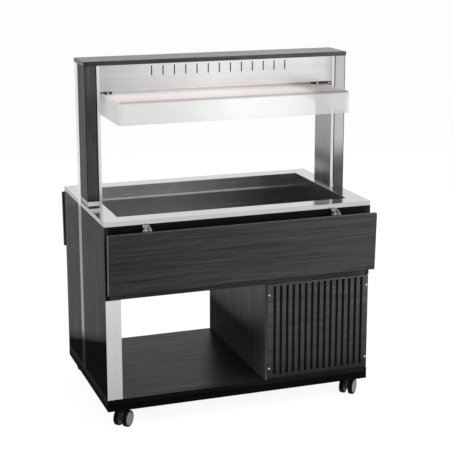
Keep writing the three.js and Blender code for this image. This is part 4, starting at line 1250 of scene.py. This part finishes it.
def makeControls():
    low, high = span("control_panel")
    face, inset = low.y + panel["face"] * mm, panel["screwInset"] * mm
    makeBezels(face)
    makeThermostatMarks(face)
    zs = (low.z + inset, high.z - inset)
    corners = [(x, face, z) for x in (low.x + inset, high.x - inset) for z in zs]
    screwSet("control_panel_screws", corners, (0, 1, 0), panel["screwRadius"])
    makeInletPins()


makeControls()


# drain: strainer in the well, nuts on the valve and a grip on its lever

strainer = {
    "radius": 25.0,
    "rings": ((0.84, 1.0), (0.42, 0.52), (0.0, 0.2)),  # inner and outer share of the radius
    "ringHeights": (0.2, 1.4, 1.8),  # bottom, top at the outside and top at the inside
    "ribs": 10,
    "ribEnds": (0.15, 0.92),
    "ribWire": 0.9,
}


def makeStrainer(x, y, z):
    sieve = bmesh.new()
    r = strainer["radius"] * mm
    bottom, outer, inner = inMetres(strainer["ringHeights"])
    for a, b in strainer["rings"]:
        outline = [(r * a, bottom), (r * b, bottom), (r * b, outer), (r * a, inner)]
        addTurned(sieve, outline, Matrix.Translation((x, y, z)), closed=a > 0)
    wire = strainer["ribWire"] * mm
    centre = Vector((x, y, z + wire))
    for rib in range(strainer["ribs"]):
        t = 2 * math.pi * rib / strainer["ribs"]
        way = Vector((math.cos(t), math.sin(t), 0)) * r
        addTube(sieve, [centre + way * share for share in strainer["ribEnds"]], wire, sides=6)
    finishPiece("drain_strainer", sieve, "steelAcross")


drainNuts = {
    "nut": 21.0,
    "nutEnds": (19.0, 33.0),  # above and below the valve
    "ridges": 4,
    "ridgeFrom": 6.0,
    "ridgePitch": 7.0,
    "ridge": (5.0, 16.6, 15.0),  # height, radius below and above
    "leverNut": (8.0, 1.0, 5.5),  # from and to, before the lever's joint, and radius
}


def makeDrainNuts(x, y, lowest):
    nuts = bmesh.new()
    lever = jointPlace("drain_lever_turn")
    near, far = inMetres(drainNuts["nutEnds"])
    for first, last in ((lever.z + near, lever.z + far), (lever.z - far, lever.z - near)):
        addRod(nuts, (x, y, first), (x, y, last), drainNuts["nut"] * mm, sides=6)
    height, below, above = inMetres(drainNuts["ridge"])
    for ridge in range(drainNuts["ridges"]):
        z = lowest + (drainNuts["ridgeFrom"] + drainNuts["ridgePitch"] * ridge) * mm
        addRod(nuts, (x, y, z), (x, y, z + height), below, sides=28, radiusEnd=above)
    start, stop, radius = inMetres(drainNuts["leverNut"])
    addRod(nuts, (x, lever.y - start, lever.z), (x, lever.y - stop, lever.z), radius, sides=6)
    finishPiece("drain_nuts", nuts, "brass")


leverGrip = {
    "corners": ((2.4, -1.6, -1.5), (-2.4, 5.6, 26.0)),  # in from the lever's sides, and from its low corner
    "edge": 1.6,
}


def makeLeverGrip():
    grip = bmesh.new()
    low, high = span("drain_lever")
    first, last = (Vector(corner) * mm for corner in leverGrip["corners"])
    addBlock(grip, low + first, Vector((high.x, low.y, low.z)) + last, leverGrip["edge"] * mm, segments=3)
    finishPiece("drain_lever_grip", grip, "blackRubber", bodyOf["drain_lever"])


pipeLow, pipeHigh = span("drain_pipe")
bore = middle(*openings["drain_bore"])
makeStrainer(bore.x, bore.y, pipeHigh.z)
makeDrainNuts(bore.x, bore.y, pipeLow.z)
makeLeverGrip()
print("controls and drain made")


# hood: lamp fittings and reflector, the guard's clamps, and the uprights' seams and foot plate

lampFittings = {
    "cap": (-1.0, 12.0, 0.5),  # out of the tube's end, along it, and over its radius
    "holderReach": 10.0,
    "holder": ((-14.0, -15.0), (14.0, 24.0)),  # Y and Z from the tube's middle
    "holderEdge": 2.5,
    "reflectorInset": 14.0,
    # across the reflector: Y and Z from the tube's middle
    "reflector": [
        (-46.0, -2.0), (-44.0, -2.0), (-22.0, 20.0), (22.0, 20.0), (44.0, -2.0), (46.0, -2.0),
        (23.0, 22.5), (-23.0, 22.5),
    ],
}


def makeLampFittings():
    low, high = span("lamp_tube")
    centre = middle(low, high)
    out, along, over = inMetres(lampFittings["cap"])
    radius = (high.z - low.z) / 2 + over
    (yLow, zLow), (yHigh, zHigh) = lampFittings["holder"]
    caps, holders, reflector = bmesh.new(), bmesh.new(), bmesh.new()
    for end, way in ((low.x, 1), (high.x, -1)):
        start, stop = ((end + way * reach, centre.y, centre.z) for reach in (out, along))
        addRod(caps, start, stop, radius, sides=32)
        x0, x1 = sorted((end, end - way * lampFittings["holderReach"] * mm))
        first = Vector((x0, centre.y + yLow * mm, centre.z + zLow * mm))
        last = Vector((x1, centre.y + yHigh * mm, centre.z + zHigh * mm))
        addBlock(holders, first, last, lampFittings["holderEdge"] * mm, segments=3)
    finishPiece("lamp_caps", caps, "aluminium")
    finishPiece("lamp_holders", holders, "whitePlastic")
    inset = lampFittings["reflectorInset"] * mm
    outline = [(low.x + inset, y * mm, centre.z + z * mm) for y, z in lampFittings["reflector"]]
    addSlab(reflector, outline, high.x - low.x - 2 * inset)
    finishPiece("lamp_reflector", reflector, "whitePlastic")


guardClamps = {
    "clamps": ((-497.0, -466.0), (424.0, 497.0)),  # black bars between the guard and the hem
    "clampFrom": 62.0,
    "clampTo": 93.0,
    "clampEdge": 1.2,
    "knobs": ((-484.0, 97.0), (443.0, 99.0)),  # x and distance from the middle
    "knobRadius": 3.6,
    # side of a knob: share of its radius, and height
    "knobSide": [
        (0.0, 0.0), (1.5, 0.0), (1.5, 1.2), (0.8, 1.4), (0.8, 2.4), (1.0, 2.8), (1.0, 7.4), (0.8, 8.4),
        (0.0, 8.8),
    ],
}


def makeGuardClamps():
    # the guard hangs from short black bars under the hem, held by a bright screw each
    top, hem = span("breath_guard")[1].z, span("front_fascia")[0].z
    bars, knobs = bmesh.new(), bmesh.new()
    r = guardClamps["knobRadius"] * mm
    side = [(r * share, height * mm) for share, height in guardClamps["knobSide"]]
    for way in (-1, 1):
        y0, y1 = sorted(way * guardClamps[k] * mm for k in ("clampFrom", "clampTo"))
        for x0, x1 in guardClamps["clamps"]:
            addBlock(bars, (x0 * mm, y0, top), (x1 * mm, y1, hem), guardClamps["clampEdge"] * mm)
        for x, away in guardClamps["knobs"]:
            addTurned(knobs, side, Matrix.Translation((x * mm, way * away * mm, top)), steps=24)
    evenNormals(finishPiece("guard_clamps", bars, "blackPlastic"))
    finishPiece("guard_screws", knobs, "screwSteel")


uprightSeams = {
    "width": 2.6,
    "depth": (0.5, 4.0),  # out of the cover and into it
    "edge": 0.3,
}


def makeUprightSeams():
    # black sealing strips along the joints of the uprights and down their outer corners
    strips = bmesh.new()
    half, edge = uprightSeams["width"] * mm / 2, uprightSeams["edge"] * mm
    out, deep = inMetres(uprightSeams["depth"])
    for side, way in (("left", -1), ("right", 1)):
        low, high = span(f"{side}_cover")
        inner, outer = (low.x, high.x) if way > 0 else (high.x, low.x)
        for x in (inner, outer - way * half):
            first, last = (x - half, low.y - out, low.z), (x + half, low.y + deep, high.z)
            addBlock(strips, first, last, edge, segments=1)
    finishPiece("upright_seams", strips, "blackRubber")


footPlate = {
    "sheet": (1.5, 0.4),  # thickness and edge
    "over": 2.0,  # up behind the cover's lower edge
}


def makeFootPlate():
    # sheet that hides the foot of the right upright at the front
    plate = bmesh.new()
    low, high = span("right_cover")
    bottom, top = span("worktop")[1].z, low.z + footPlate["over"] * mm
    thick, edge = inMetres(footPlate["sheet"])
    addBlock(plate, (low.x, low.y - thick, bottom), (high.x, low.y, top), edge, segments=1)
    evenNormals(finishPiece("right_foot_plate", plate, "coverSteel"))


makeLampFittings()
makeGuardClamps()
makeUprightSeams()
makeFootPlate()


# flap hinges: pivot bolts

hinge = {"boltRadius": 5.0, "boltReach": 17.5}


def makeHingeBolts():
    reach = hinge["boltReach"] * mm
    for end in ("front", "rear"):
        pivot = jointPlace(f"{end}_flap_hinge")
        bolts = bmesh.new()
        for side in ("left", "right"):
            x = middle(*span(f"{end}_{side}_bracket")).x
            for way in (-1, 1):
                addScrew(bolts, (x + way * reach, pivot.y, pivot.z), (way, 0, 0), hinge["boltRadius"])
        finishPiece(f"{end}_hinge_bolts", bolts, "screwSteel", f"{end}_tray_flap")


makeHingeBolts()
print("hood and hinges made")


# floor and world

def seenDirectly(tree):
    # 1 for the camera's rays, and for gloss or glass that shows the background
    paths = addNode(tree, "ShaderNodeLightPath").outputs
    seen = maths(tree, "MAXIMUM", paths["Is Camera Ray"], paths["Is Glossy Ray"])
    return maths(tree, "MAXIMUM", seen, paths["Is Transmission Ray"])


def makeFloor():
    mesh = bmesh.new()
    bmesh.ops.create_grid(mesh, x_segments=1, y_segments=1, size=studio["floorSize"])
    data = bpy.data.meshes.new("studioFloor")
    mesh.to_mesh(data)
    mesh.free()
    floor = bpy.data.objects.new("studioFloor", data)
    bpy.context.collection.objects.link(floor)
    made, tree, out = startMaterial("paleFloor")
    speck = noise(tree, objectPlace(tree), 30, 3)
    pale = ramp(tree, speck, [(0.3, studio["floorPale"] * 0.97), (0.7, studio["floorPale"])])
    lit = surfacePart(tree, "BsdfDiffuse", Color=pale)
    glow = surfacePart(tree, "Emission", Color=(1, 1, 1, 1), Strength=studio["floorGlow"])
    shown = addNode(tree, "ShaderNodeAddShader", {0: lit, 1: glow}).outputs[0]
    dim = surfacePart(tree, "BsdfDiffuse", Color=(*[studio["floorBounce"]] * 3, 1))
    tree.links.new(mixParts(tree, seenDirectly(tree), dim, shown), out.inputs[0])
    data.materials.append(made)


def makeWorld():
    world = bpy.data.worlds.new("studioWorld")
    tree, out = startNodes(world, "ShaderNodeOutputWorld")
    soft, white = (
        surfacePart(tree, "Background", Color=(1, 1, 1, 1), Strength=studio[key])
        for key in ("ambient", "background")
    )
    tree.links.new(mixParts(tree, seenDirectly(tree), soft, white), out.inputs[0])
    bpy.context.scene.world = world


makeCamera()
for lamp in studio["lamps"]:
    makeLamp(*lamp)
makeFloor()
makeWorld()
bpy.context.scene.view_settings.view_transform = "Standard"
print("studio ready")
